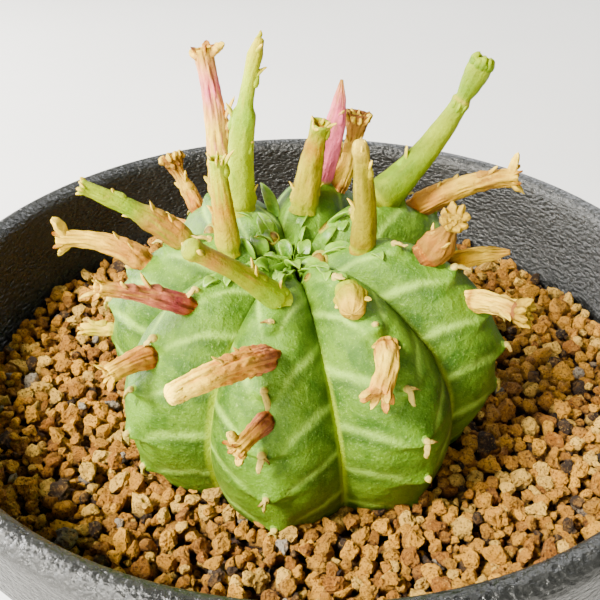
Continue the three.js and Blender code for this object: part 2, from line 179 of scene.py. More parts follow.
def unit(v):
    return v / np.maximum(np.linalg.norm(v, axis=-1, keepdims=True), 1e-9)


def direction(heading, rise):
    """Unit vector from a heading, in degrees from -Y towards +X, and a rise above the horizontal."""
    h = math.radians(heading)
    r = math.radians(rise)
    return np.array([math.sin(h) * math.cos(r), -math.cos(h) * math.cos(r), math.sin(r)])


def bent_path(start_point, start, end, length, steps):
    """Points of a curve that leaves start_point along start and turns evenly to end."""
    shares = (np.arange(steps) + 0.5) / steps
    ways = unit(start + (end - start) * shares[:, None])
    return np.vstack([start_point, start_point + np.cumsum(ways * length / steps, axis=0)])


def frames_along(path):
    """Tangent, side and up vectors along a path, without twist."""
    tangents = unit(np.gradient(path, axis=0))
    helper = np.array([0.0, 0.0, 1.0]) if abs(tangents[0, 2]) < 0.9 else np.array([1.0, 0.0, 0.0])
    side = unit(np.cross(helper, tangents[0]))
    sides = [side]
    for tangent in tangents[1:]:
        side = unit(side - tangent * side.dot(tangent))
        sides.append(side)
    sides = np.array(sides)
    return tangents, sides, np.cross(tangents, sides)


def loft(path, radii, sides, flatness=1.0, ripple=None, frames=None):
    """A closed round bar along a path. Returns points, faces, the share along and the angle around.
    ripple takes (share, angle) and returns a factor on the radius."""
    tangents, across, up = frames or frames_along(path)
    count = len(path)
    angle = np.arange(sides) * 2 * np.pi / sides
    share, around = np.meshgrid(np.linspace(0, 1, count), angle, indexing="ij")
    radius = np.asarray(radii)[:, None] * (ripple(share, around) if ripple else 1.0)
    points = (
        path[:, None]
        + across[:, None] * (radius * np.cos(around))[..., None]
        + up[:, None] * (radius * np.sin(around) * flatness)[..., None]
    )
    return points.reshape(-1, 3), grid_faces(count, sides), share.ravel(), around.ravel()


def wobble(points, scale, seed):
    """Smooth noise from -1 to 1 at each point, made of sine waves in random directions."""
    source = np.random.default_rng(seed)
    total = np.zeros(len(points))
    for octave in range(3):
        for _ in range(4):
            way = unit(source.normal(size=3)) * (2**octave) / scale
            total += np.sin(points @ way * 2 * np.pi + source.uniform(0, 6.3)) / (1.6**octave)
    return total / 4.5


# ---- Material helpers ---------------------------------------------------------------------


class Shader:
    """Short calls for building one procedural material."""

    def __init__(self, name, roughness=0.5, **settings):
        self.material = bpy.data.materials.new(name)
        self.material.use_nodes = True
        self.nodes = self.material.node_tree.nodes
        self.links = self.material.node_tree.links
        self.principled = self.nodes["Principled BSDF"]
        self.principled.inputs["Roughness"].default_value = roughness
        for socket, value in settings.items():
            self.principled.inputs[socket.replace("_", " ")].default_value = value
        self.place = self.node("ShaderNodeTexCoord").outputs["Object"]

    def node(self, kind, **settings):
        node = self.nodes.new(kind)
        for key, value in settings.items():
            setattr(node, key, value)
        return node

    def link(self, source, target):
        if isinstance(source, (int, float)):
            target.default_value = source
        elif isinstance(source, tuple):
            target.default_value = source if len(source) == 4 else source + (1.0,)
        else:
            self.links.new(source, target)

    def attribute(self, name, colour=False):
        node = self.node("ShaderNodeAttribute", attribute_name=name)
        return node.outputs["Color" if colour else "Fac"]

    def noise(self, scale, detail=3.0, roughness=0.55, stretch=None, distortion=0.0):
        """Noise with features about 1/scale metres across."""
        node = self.node("ShaderNodeTexNoise")
        node.inputs["Scale"].default_value = scale
        node.inputs["Detail"].default_value = detail
        node.inputs["Roughness"].default_value = roughness
        node.inputs["Distortion"].default_value = distortion
        self.link(self.stretched(stretch), node.inputs["Vector"])
        return node.outputs["Fac"]

    def cells(self, scale, feature="F1", output="Distance", stretch=None, randomness=1.0):
        node = self.node("ShaderNodeTexVoronoi", feature=feature)
        node.inputs["Scale"].default_value = scale
        node.inputs["Randomness"].default_value = randomness
        self.link(self.stretched(stretch), node.inputs["Vector"])
        return node.outputs[output]

    def stretched(self, stretch):
        if stretch is None:
            return self.place
        mapping = self.node("ShaderNodeMapping")
        mapping.inputs["Scale"].default_value = stretch
        self.link(self.place, mapping.inputs["Vector"])
        return mapping.outputs["Vector"]

    def times(self, a, b):
        node = self.node("ShaderNodeMath", operation="MULTIPLY")
        self.link(a, node.inputs[0])
        self.link(b, node.inputs[1])
        return node.outputs[0]

    def ramp(self, value, low, high, out_low=0.0, out_high=1.0):
        """Smooth step of value from low to high."""
        node = self.node("ShaderNodeMapRange", interpolation_type="SMOOTHSTEP")
        self.link(value, node.inputs["Value"])
        for socket, number in zip(node.inputs[1:5], (low, high, out_low, out_high)):
            socket.default_value = number
        return node.outputs[0]

    def mix(self, share, a, b, blend="MIX"):
        node = self.node("ShaderNodeMix", data_type="RGBA", blend_type=blend)
        self.link(share, node.inputs["Factor"])
        self.link(a, node.inputs[6])
        self.link(b, node.inputs[7])
        return node.outputs[2]

    def colour(self, value):
        self.link(value, self.principled.inputs["Base Color"])

    def roughness(self, value):
        self.link(value, self.principled.inputs["Roughness"])

    def bump(self, height, distance, strength=1.0, under=None):
        """Bump of this many metres from the lowest to the highest value."""
        node = self.node("ShaderNodeBump")
        node.inputs["Distance"].default_value = distance
        node.inputs["Strength"].default_value = strength
        self.link(height, node.inputs["Height"])
        if under is not None:
            self.link(under, node.inputs["Normal"])
        self.links.new(node.outputs["Normal"], self.principled.inputs["Normal"])
        return node.outputs["Normal"]


def dress(piece, shader):
    """Gives a piece its material and slot. The plant and its pot are one body."""
    piece.data.materials.clear()
    piece.data.materials.append(shader.material)
    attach(piece, "root")
    return piece


# ---- Materials ----------------------------------------------------------------------------


def pot_material():
    """Black moulded plastic with a fine leather grain."""
    s = Shader("black_plastic", 0.35, Specular_IOR_Level=0.5)
    grain = s.cells(1300.0, feature="SMOOTH_F1", stretch=(1.0, 1.0, 1.7))
    creases = s.noise(950.0, 4.0, 0.6, stretch=(1.0, 1.0, 2.2))
    mottle = s.noise(90.0, 3.0)
    tone = s.mix(s.ramp(mottle, 0.35, 0.65), (0.006, 0.0065, 0.006), (0.012, 0.0125, 0.0115))
    dust = s.times(s.ramp(s.noise(300.0, 5.0, 0.7), 0.56, 0.75), 0.1)
    s.colour(s.mix(dust, tone, (0.12, 0.105, 0.085)))
    s.roughness(s.ramp(creases, 0.3, 0.7, 0.24, 0.42))
    first = s.bump(grain, 0.0004, 0.7)
    s.bump(creases, 0.00045, 0.9, under=first)
    return s


def net_material():
    s = Shader("net_plastic", 0.55)
    s.colour(s.mix(s.ramp(s.noise(400.0), 0.4, 0.6), (0.02, 0.02, 0.02), (0.045, 0.043, 0.04)))
    s.bump(s.noise(1500.0), 0.0001, 0.5)
    return s


def soil_core_material():
    s = Shader("soil_shade", 0.95)
    s.colour(s.mix(s.ramp(s.noise(700.0, 5.0), 0.4, 0.6), (0.012, 0.005, 0.002), (0.07, 0.028, 0.008)))
    s.bump(s.noise(900.0, 5.0), 0.0008, 1.0)
    return s


def granule_material():
    """Baked clay crumbs: each granule's colour is an attribute, with dusty edges, painted shade in the
    pits, painted highlights on the bumps, and painted shade on the undersides and on granules low in the
    pile.
    """
    s = Shader("clay_granules", 0.92, Specular_IOR_Level=0.3)
    own = s.attribute("granule_colour", colour=True)
    fine = s.noise(2600.0, 5.0, 0.7)
    patches = s.noise(900.0, 3.0)
    dusty = s.mix(s.ramp(patches, 0.45, 0.72, 0.0, 0.45), own, (0.52, 0.25, 0.05))
    # Painted shade in the low spots of the fine bump, and painted highlights on its high spots.
    pit_shaded = s.mix(s.ramp(fine, 0.34, 0.5, 0.9, 0.0), dusty, (0.035, 0.011, 0.002))
    lit = s.mix(s.ramp(fine, 0.56, 0.7, 0.0, 0.5), pit_shaded, (0.95, 0.58, 0.12))
    # Painted shade: granules low in the pile and each granule's underside are darkened through the depth
    # attribute.
    s.colour(s.mix(s.ramp(s.attribute("depth"), 0.05, 0.9, 0.95, 0.0), lit, (0.03, 0.01, 0.003)))
    s.bump(fine, 0.0012, 1.0)
    return s


def skin_material():
    """Green skin: pale cross bands, yellow furrows low down, a wax bloom and fine pale speckles."""
    s = Shader("plant_skin", 0.5, Specular_IOR_Level=0.22, Subsurface_Weight=0.06,
               Subsurface_Radius=(0.6, 1.0, 0.3), Subsurface_Scale=0.001)
    across = s.attribute("across")
    height = s.attribute("height")
    mottle = s.noise(260.0, 5.0, 0.6)
    speckle = s.noise(2700.0, 4.0, 0.7)
    pores = s.cells(1500.0)
    green = s.mix(s.ramp(mottle, 0.36, 0.64), (0.026, 0.078, 0.002), (0.09, 0.18, 0.006))
    low_green = s.mix(s.ramp(height, 0.1, 0.5, 0.5, 0.0), green, (0.1, 0.175, 0.006))
    deep = s.mix(s.times(s.attribute("shade"), 0.75), low_green, (0.022, 0.06, 0.002))
    bloom = s.times(s.attribute("bloom"), s.ramp(mottle, 0.3, 0.7, 0.4, 1.0))
    waxed = s.mix(bloom, deep, (0.11, 0.245, 0.004))
    broken = s.times(s.attribute("band"), s.ramp(s.noise(900.0, 3.0), 0.3, 0.5, 0.65, 1.0))
    banded = s.mix(s.times(broken, 0.9), waxed, (0.3, 0.5, 0.05))
    yellow = s.times(s.ramp(across, 0.92, 0.98), s.ramp(height, 0.5, 0.8, 1.0, 0.0))
    furrowed = s.mix(s.times(yellow, 0.9), banded, (0.26, 0.36, 0.0))
    # Painted shade: the furrow bottoms are darkened high up, where the furrows are deep.
    furrow_shade = s.times(s.ramp(across, 0.95, 1.0), s.ramp(height, 0.62, 0.85))
    furrow_shaded = s.mix(s.times(furrow_shade, 0.9), furrowed, (0.02, 0.06, 0.002))
    dark_dots = s.times(s.ramp(speckle, 0.34, 0.46, 1.0, 0.0), 0.45)
    dotted = s.mix(dark_dots, furrow_shaded, (0.03, 0.075, 0.002))
    dots = s.times(s.ramp(speckle, 0.56, 0.7), 0.35)
    speckled = s.mix(dots, dotted, (0.33, 0.48, 0.1))
    pale_pores = s.times(s.ramp(pores, 0.05, 0.2, 1.0, 0.0), 0.22)
    s.colour(s.mix(pale_pores, speckled, (0.4, 0.52, 0.16)))
    s.roughness(s.ramp(speckle, 0.35, 0.7, 0.42, 0.62))
    first = s.bump(speckle, 0.00022, 0.8)
    s.bump(s.noise(900.0, 3.0), 0.0004, 0.6, under=first)
    return s


def stalk_material():
    """Stalks take their colours from the mesh, with fibres along them and dry blotches."""
    s = Shader("flower_stalk", 0.6, Specular_IOR_Level=0.08, Subsurface_Weight=0.05,
               Subsurface_Radius=(1.0, 0.7, 0.4), Subsurface_Scale=0.0008)
    own = s.attribute("stalk_colour", colour=True)
    dry = s.attribute("dryness")
    fibre = s.attribute("fibre")
    fine = s.noise(2400.0, 4.0, 0.65)
    blotch = s.noise(700.0, 4.0, 0.6)
    # Painted shade: dry stalks are darkened in the low fibre grooves, which the mesh also sinks in and the
    # bump deepens.
    groove_shade = s.times(s.ramp(fibre, 0.1, 0.45, 0.6, 0.0), dry)
    groove_shaded = s.mix(groove_shade, own, own, "MULTIPLY")
    scorched = s.times(s.ramp(blotch, 0.56, 0.7), dry)
    browned = s.mix(s.times(scorched, 0.6), groove_shaded, (0.24, 0.09, 0.02))
    pale = s.times(s.ramp(blotch, 0.28, 0.42, 1.0, 0.0), dry)
    bleached = s.mix(s.times(pale, 0.45), browned, (0.78, 0.52, 0.04))
    s.colour(s.mix(s.ramp(fine, 0.3, 0.46, 0.35, 0.0), bleached, own, "MULTIPLY"))
    s.roughness(s.ramp(dry, 0.0, 1.0, 0.55, 0.85))
    first = s.bump(fine, 0.00025, 0.7)
    s.bump(s.times(fibre, s.ramp(dry, 0.1, 0.5, 0.15, 1.0)), 0.0004, 0.8, under=first)
    return s


def leaf_material():
    s = Shader("young_leaf", 0.42, Subsurface_Weight=0.1,
               Subsurface_Radius=(0.5, 1.0, 0.2), Subsurface_Scale=0.0008)
    own = s.attribute("stalk_colour", colour=True)
    s.colour(s.mix(s.ramp(s.noise(1500.0, 3.0), 0.4, 0.65, 0.0, 0.35), own, (0.25, 0.4, 0.03)))
    s.bump(s.noise(2200.0, 3.0), 0.00015, 0.6)
    return s


def floor_material():
    s = Shader("pale_floor", 0.75)
    s.colour(s.mix(s.ramp(s.noise(6.0), 0.3, 0.7), (0.66, 0.655, 0.64), (0.69, 0.685, 0.67)))
    return s


# ---- Camera, light and floor --------------------------------------------------------------


CAMERA_PLACE = (-1.78, -111.73, SOIL_TOP + 89.4)
CAMERA_DIP = 33.6  # degrees below the horizontal
CAMERA_LENS = 52.08


def make_stage():
    """Pale floor, soft light from the upper left and the camera that looks down on the plant."""
    camera_data = bpy.data.cameras.new("camera")
    camera_data.sensor_width = 36.0
    camera_data.lens = CAMERA_LENS
    camera_data.clip_start = 0.005
    camera = bpy.data.objects.new("camera", camera_data)
    camera.location = np.array(CAMERA_PLACE) * MM
    camera.rotation_euler = (math.radians(90 - CAMERA_DIP), 0, 0)
    bpy.context.scene.collection.objects.link(camera)
    bpy.context.scene.camera = camera

    half = 2500.0
    corners = np.array([[-half, -half, 0], [half, -half, 0], [half, half, 0], [-half, half, 0]])
    floor = add_mesh("floor", corners, [[0, 1, 2, 3]], smooth=False)
    floor.data.materials.append(floor_material().material)

    def area_light(name, spot, target, size, power, colour):
        data = bpy.data.lights.new(name, "AREA")
        data.shape = "DISK"
        data.size = size
        data.energy = power
        data.color = colour
        lamp = bpy.data.objects.new(name, data)
        lamp.location = spot
        way = np.array(target) - np.array(spot)
        heading = math.atan2(way[1], way[0])
        tilt = math.atan2(math.hypot(way[0], way[1]), -way[2])
        lamp.rotation_euler = (tilt, 0, heading - math.pi / 2)
        bpy.context.scene.collection.objects.link(lamp)

    middle = (0, 0, 0.08)
    area_light("key", (-0.4, -0.27, 0.56), middle, 0.18, 25.0, (1.0, 0.96, 0.86))
    area_light("window", (0.2, 0.7, 0.5), middle, 0.5, 6.0, (0.98, 0.99, 1.0))
    area_light("side", (-0.55, 0.3, 0.22), (0, 0.02, 0.08), 0.35, 18.0, (1.0, 0.98, 0.94))
    area_light("fill", (-0.25, -0.65, 0.22), middle, 0.6, 14.0, (1.0, 0.96, 0.88))

    world = bpy.data.worlds.new("studio")
    world.use_nodes = True
    background = world.node_tree.nodes["Background"]
    background.inputs["Color"].default_value = (0.84, 0.84, 0.82, 1)
    background.inputs["Strength"].default_value = 0.24
    bpy.context.scene.world = world


# ---- Pot ----------------------------------------------------------------------------------


def pot_wall(z):
    """Outside radius of the pot's wall at a height below the rim band."""
    return FOOT_RADIUS + (POT_RADIUS - RIM_STEP - FOOT_RADIUS) * z / WALL_TOP


def make_pot(shader):
    """The turned pot, with the CAD part's profile at a finer step and its edges rounded."""
    lip = RIM_WIDTH / 2
    foot_inside = FOOT_RADIUS - FOOT_WIDTH
    corner = [
        (DRAIN_RADIUS, FOOT_HEIGHT),
        (foot_inside, FOOT_HEIGHT),
        (foot_inside, 0.4),
        (foot_inside + 0.4, 0.0),
        (FOOT_RADIUS - 0.8, 0.0),
        (FOOT_RADIUS, 0.8),
        (pot_wall(WALL_TOP * 0.5), WALL_TOP * 0.5),
        (pot_wall(WALL_TOP) - 0.02, WALL_TOP - 0.3),
        (pot_wall(WALL_TOP) + 0.4, WALL_TOP),
        (POT_RADIUS - 1.2, WALL_TOP),
        (POT_RADIUS - 0.55, WALL_TOP + 0.35),
        (POT_RADIUS - 0.3, WALL_TOP + 1.1),
    ]
    for i in range(15):
        angle = math.pi * i / 14
        z = POT_HEIGHT - lip * (1 - math.sin(angle))
        corner.append((POT_RADIUS - lip + lip * math.cos(angle), z))
    corner += [
        (pot_wall(WALL_TOP) - WALL + 0.3, WALL_TOP + 1.0),
        (pot_wall(FLOOR_TOP + 4) - WALL, FLOOR_TOP + 4),
        (pot_wall(FLOOR_TOP) - WALL - 1.0, FLOOR_TOP + 1.0),
        (pot_wall(FLOOR_TOP) - WALL - 3, FLOOR_TOP),
        (DRAIN_RADIUS, FLOOR_TOP),
    ]

    # Points stand closer together on the rim and the upper wall, which are seen from near
    profile = []
    for (r0, z0), (r1, z1) in zip(corner, corner[1:] + corner[:1]):
        near_rim = min(z0, z1) > SOIL_TOP - 30
        spacing = 0.7 if near_rim else 6.0
        pieces = max(1, int(math.hypot(r1 - r0, z1 - z0) / spacing))
        for i in range(pieces):
            profile.append((r0 + (r1 - r0) * i / pieces, z0 + (z1 - z0) * i / pieces))
    profile = np.array(profile)
    columns = 480
    angle = np.arange(columns) * 2 * np.pi / columns
    radius = np.repeat(profile[:, 0][:, None], columns, 1)
    z = np.repeat(profile[:, 1][:, None], columns, 1)

    # Notches under the foot ring let water run out
    from_notch = np.abs(((angle + np.pi / 4) % (np.pi / 2)) - np.pi / 4) * FOOT_RADIUS
    low = (profile[:, 1] < 2.0)[:, None] & (from_notch < NOTCH_WIDTH / 2)[None, :]
    z = np.where(low, NOTCH_HEIGHT, z)
    points = np.stack([radius * np.sin(angle), -radius * np.cos(angle), z], -1).reshape(-1, 3)
    rows = len(profile)
    faces = grid_faces(rows, columns)
    here = np.arange(columns)
    beside = (here + 1) % columns
    last_row = (rows - 1) * columns
    seam = np.stack([last_row + here, last_row + beside, beside, here], -1)
    pot = add_mesh("pot_shell", points, np.vstack([faces, seam]))
    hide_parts("pot")
    return dress(pot, shader)


# ---- Plant globe --------------------------------------------------------------------------


def lean_matrix():
    """Rotation that tips the globe forward and then to the left."""
    a = math.radians(LEAN_FORWARD)
    c = math.radians(LEAN_LEFT)
    left = np.array([[math.cos(c), 0, -math.sin(c)], [0, 1, 0], [math.sin(c), 0, math.cos(c)]])
    forward = np.array([[1, 0, 0], [0, math.cos(a), -math.sin(a)], [0, math.sin(a), math.cos(a)]])
    return left @ forward


LEAN = lean_matrix()


def rib_azimuth(turn):
    """Degrees around the plant at a place counted in ribs: whole numbers are crests."""
    rib = np.floor(turn).astype(int) % RIBS
    return RIB_AZIMUTHS[rib] + RIB_STEPS[rib] * (turn - np.floor(turn))


def rib_turn(azimuth):
    """The place counted in ribs at this many degrees around the plant."""
    ahead = (azimuth - RIB_AZIMUTHS) % 360
    rib = int(np.argmax(ahead < RIB_STEPS))
    return rib + ahead[rib] / RIB_STEPS[rib]


def crest_distance(turn):
    """0 on a crest and 1 in a furrow."""
    return 1 - np.abs(2 * (turn - np.floor(turn)) - 1)


def cushion_place(turn, polar):
    """How far down its own rib a point is, counted in leaf cushions: whole numbers are cushions."""
    rib = np.round(turn).astype(int) % RIBS
    degrees = np.degrees(polar)
    place = np.zeros(np.shape(degrees))
    for i, angles in enumerate(CUSHIONS):
        before = 2 * angles[0] - angles[1]
        after = 2 * angles[-1] - angles[-2]
        known = [before - 30] + [before] + angles + [after, after + 60]
        index = [-2.5, -1] + list(range(len(angles))) + [len(angles), len(angles) + 3]
        place = np.where(rib == i, np.interp(degrees, known, index), place)
    return place


def crest_swell(turn, polar, from_crest):
    """Millimetres that the leaf cushions raise the rib: each one swells slowly and ends in a step."""
    place = cushion_place(turn, polar)
    share = (place - 0.12) % 1.0
    saw = np.where(share < 0.86, (share / 0.86) ** 1.6, np.clip((1 - share) / 0.14, 0, 1))
    narrow = np.exp(-((from_crest / 0.22) ** 2))
    wide = np.exp(-((from_crest / 0.55) ** 2))
    visible = fade(polar, 0.16, 0.5) * np.clip((2.5 - polar) / 0.3, 0, 1)
    flank = np.sin(np.pi * np.clip(from_crest, 0, 1))
    chevron = (place - band_rise(from_crest)) % 1.0
    quilt = np.sin(np.pi * chevron) ** 0.7 * flank
    knob = np.exp(-((((place + 0.5) % 1.0 - 0.5) / 0.13) ** 2)) * np.exp(-((from_crest / 0.13) ** 2))
    return visible * (saw * (0.7 * narrow + 0.3 * wide) + 0.36 * quilt + 0.55 * knob)


def band_rise(from_crest):
    """How the pale bands climb from the crest towards the furrow, in leaf cushions."""
    return np.interp(from_crest, [0, 0.12, 0.3, 0.5, 0.75, 1.0], [0.24, 0.16, -0.16, -0.32, -0.36, -0.3])


def globe_points(turn, polar, fine=True):
    """Points of the plant's skin. turn counts ribs around, polar is radians from the crown."""
    turn = np.asarray(turn, float)
    polar = np.asarray(polar, float)
    azimuth = np.radians(rib_azimuth(turn))
    from_crest = crest_distance(turn)
    depth = np.interp(np.degrees(polar), FURROW_ANGLES, FURROW_DEPTHS)
    furrow = depth * from_crest**2
    reach = GLOBE_RADIUS * np.sin(polar)
    above = polar < np.pi / 2
    height = np.where(above, GLOBE_RISE, GLOBE_DROP) * np.cos(polar)
    crown = CROWN_DIP * np.exp(-((reach / CROWN_WIDTH) ** 2))
    shoulder = np.where(above, SHOULDER * furrow * height, 0)
    grow = crest_swell(turn, polar, from_crest) if fine else 0.0
    r = reach * (1 - furrow) + grow * np.sin(polar)
    z = height - crown - shoulder + grow * np.cos(polar)
    local = np.stack([r * np.sin(azimuth), -r * np.cos(azimuth), z], -1)
    return local @ LEAN.T + GLOBE_CENTRE


def globe_normal(turn, polar):
    """Outward direction of the skin, with the leaf cushions left out."""
    step = 0.01
    here = globe_points(turn, polar, fine=False)
    beside = globe_points(turn + step, polar, fine=False)
    below = globe_points(turn, polar + step, fine=False)
    normal = unit(np.cross(below - here, beside - here))
    outward = here - GLOBE_CENTRE
    return normal * np.sign((normal * outward).sum(-1, keepdims=True))


def make_globe(shader):
    """The ribbed globe and its root, with the attributes that the skin is coloured by."""
    # Columns stand closer together towards the furrows
    half_rib = 0.5 * np.sin(np.linspace(0, np.pi / 2, 25)[:-1]) ** 0.9
    one_rib = np.concatenate([half_rib, 1 - half_rib[:0:-1], [0.5]])
    one_rib.sort()
    columns = RIBS * len(one_rib)
    above = np.radians(np.linspace(1.0, 128.0, 178))
    under = np.radians(np.linspace(132.0, 156.0, 6))
    polar = np.concatenate([above, under])
    turn = (np.arange(RIBS)[:, None] + one_rib).ravel()
    turn_grid, polar_grid = np.meshgrid(turn, polar)
    points = globe_points(turn_grid, polar_grid)
    from_crest = crest_distance(turn_grid)

    # A gentle unevenness, as a grown thing has
    flat = points.reshape(-1, 3)
    outward = unit(flat - GLOBE_CENTRE)
    flat = flat + outward * (0.22 * wobble(flat, 16.0, 3) + 0.07 * wobble(flat, 4.5, 4))[:, None]
    degrees = np.degrees(polar_grid)
    place = cushion_place(turn_grid, polar_grid)
    chevron = (place - band_rise(from_crest) + 0.5) % 1.0 - 0.5
    lean_noise = 0.05 * wobble(flat, 7.0, 5).reshape(chevron.shape)
    band = np.exp(-(((chevron + lean_noise) / 0.08) ** 2))
    shade = np.exp(-(((chevron + lean_noise - 0.17) / 0.1) ** 2))
    shade *= fade(from_crest, 0.15, 0.3) * fade(degrees, 20, 15)
    band *= fade(from_crest, 0.1, 0.25) * fade(degrees, 14, 12)
    strength = 0.75 + 0.25 * wobble(flat, 11.0, 6).reshape(chevron.shape)
    height = (flat[:, 2] - SOIL_TOP) / CROWN_HEIGHT
    bloom = np.exp(-((from_crest / 0.45) ** 2)) * 0.55 + np.clip(1 - degrees / 55, 0, 1) * 0.75

    # The root closes the globe below the soil
    rings = []
    rows = flat.reshape(len(polar), columns, 3)
    top = rows[-1]
    depth = [3, 7, 12, ROOT_LENGTH * 0.6, ROOT_LENGTH, ROOT_LENGTH + 0.5]
    shares = [0.8, 0.62, 0.42, 0.25, 0.08, 0.0]
    centre = top.mean(0)
    for drop, share in zip(depth, shares):
        ring = centre + (top - centre) * share
        ring[:, 2] = top[:, 2] * share + centre[2] * (1 - share) - drop
        rings.append(ring)
    crown = np.repeat(rows[0].mean(0)[None], columns, 0)
    every = np.vstack([crown, flat] + rings)
    extra = len(rings) * columns

    def pad(grid, first):
        """Values for the crown ring, the skin and the root rings."""
        return np.concatenate([np.full(columns, first), np.asarray(grid).ravel(), np.zeros(extra)])

    values = {
        "across": pad(from_crest, 0.5),
        "band": pad(band * strength, 0.0),
        "shade": pad(shade, 0.0),
        "height": pad(height, 0.9),
        "bloom": pad(np.clip(bloom, 0, 1), 0.6),
    }
    faces = grid_faces(len(every) // columns, columns, flip=True)
    globe = add_mesh("plant_skin_body", every, faces, attributes=values)
    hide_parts("plant_body")
    return dress(globe, shader)


# ---- Flower stalks ------------------------------------------------------------------------

CREAM = (0.62, 0.39, 0.018)
PALE = (0.78, 0.54, 0.04)
PEACH = (0.46, 0.2, 0.02)
PINK = (0.38, 0.12, 0.055)
ROSE = (0.75, 0.13, 0.22)
MAUVE = (0.22, 0.03, 0.035)
TAN = (0.34, 0.17, 0.018)
BROWN = (0.15, 0.055, 0.012)
RUST = (0.22, 0.055, 0.003)
LIME = (0.31, 0.4, 0.0)
FRESH = (0.19, 0.32, 0.0)
OLIVE = (0.17, 0.2, 0.0)
YELLOW = (0.36, 0.3, 0.0)
ORANGE = (0.34, 0.17, 0.0)
RING = (0.26, 0.29, 0.0)

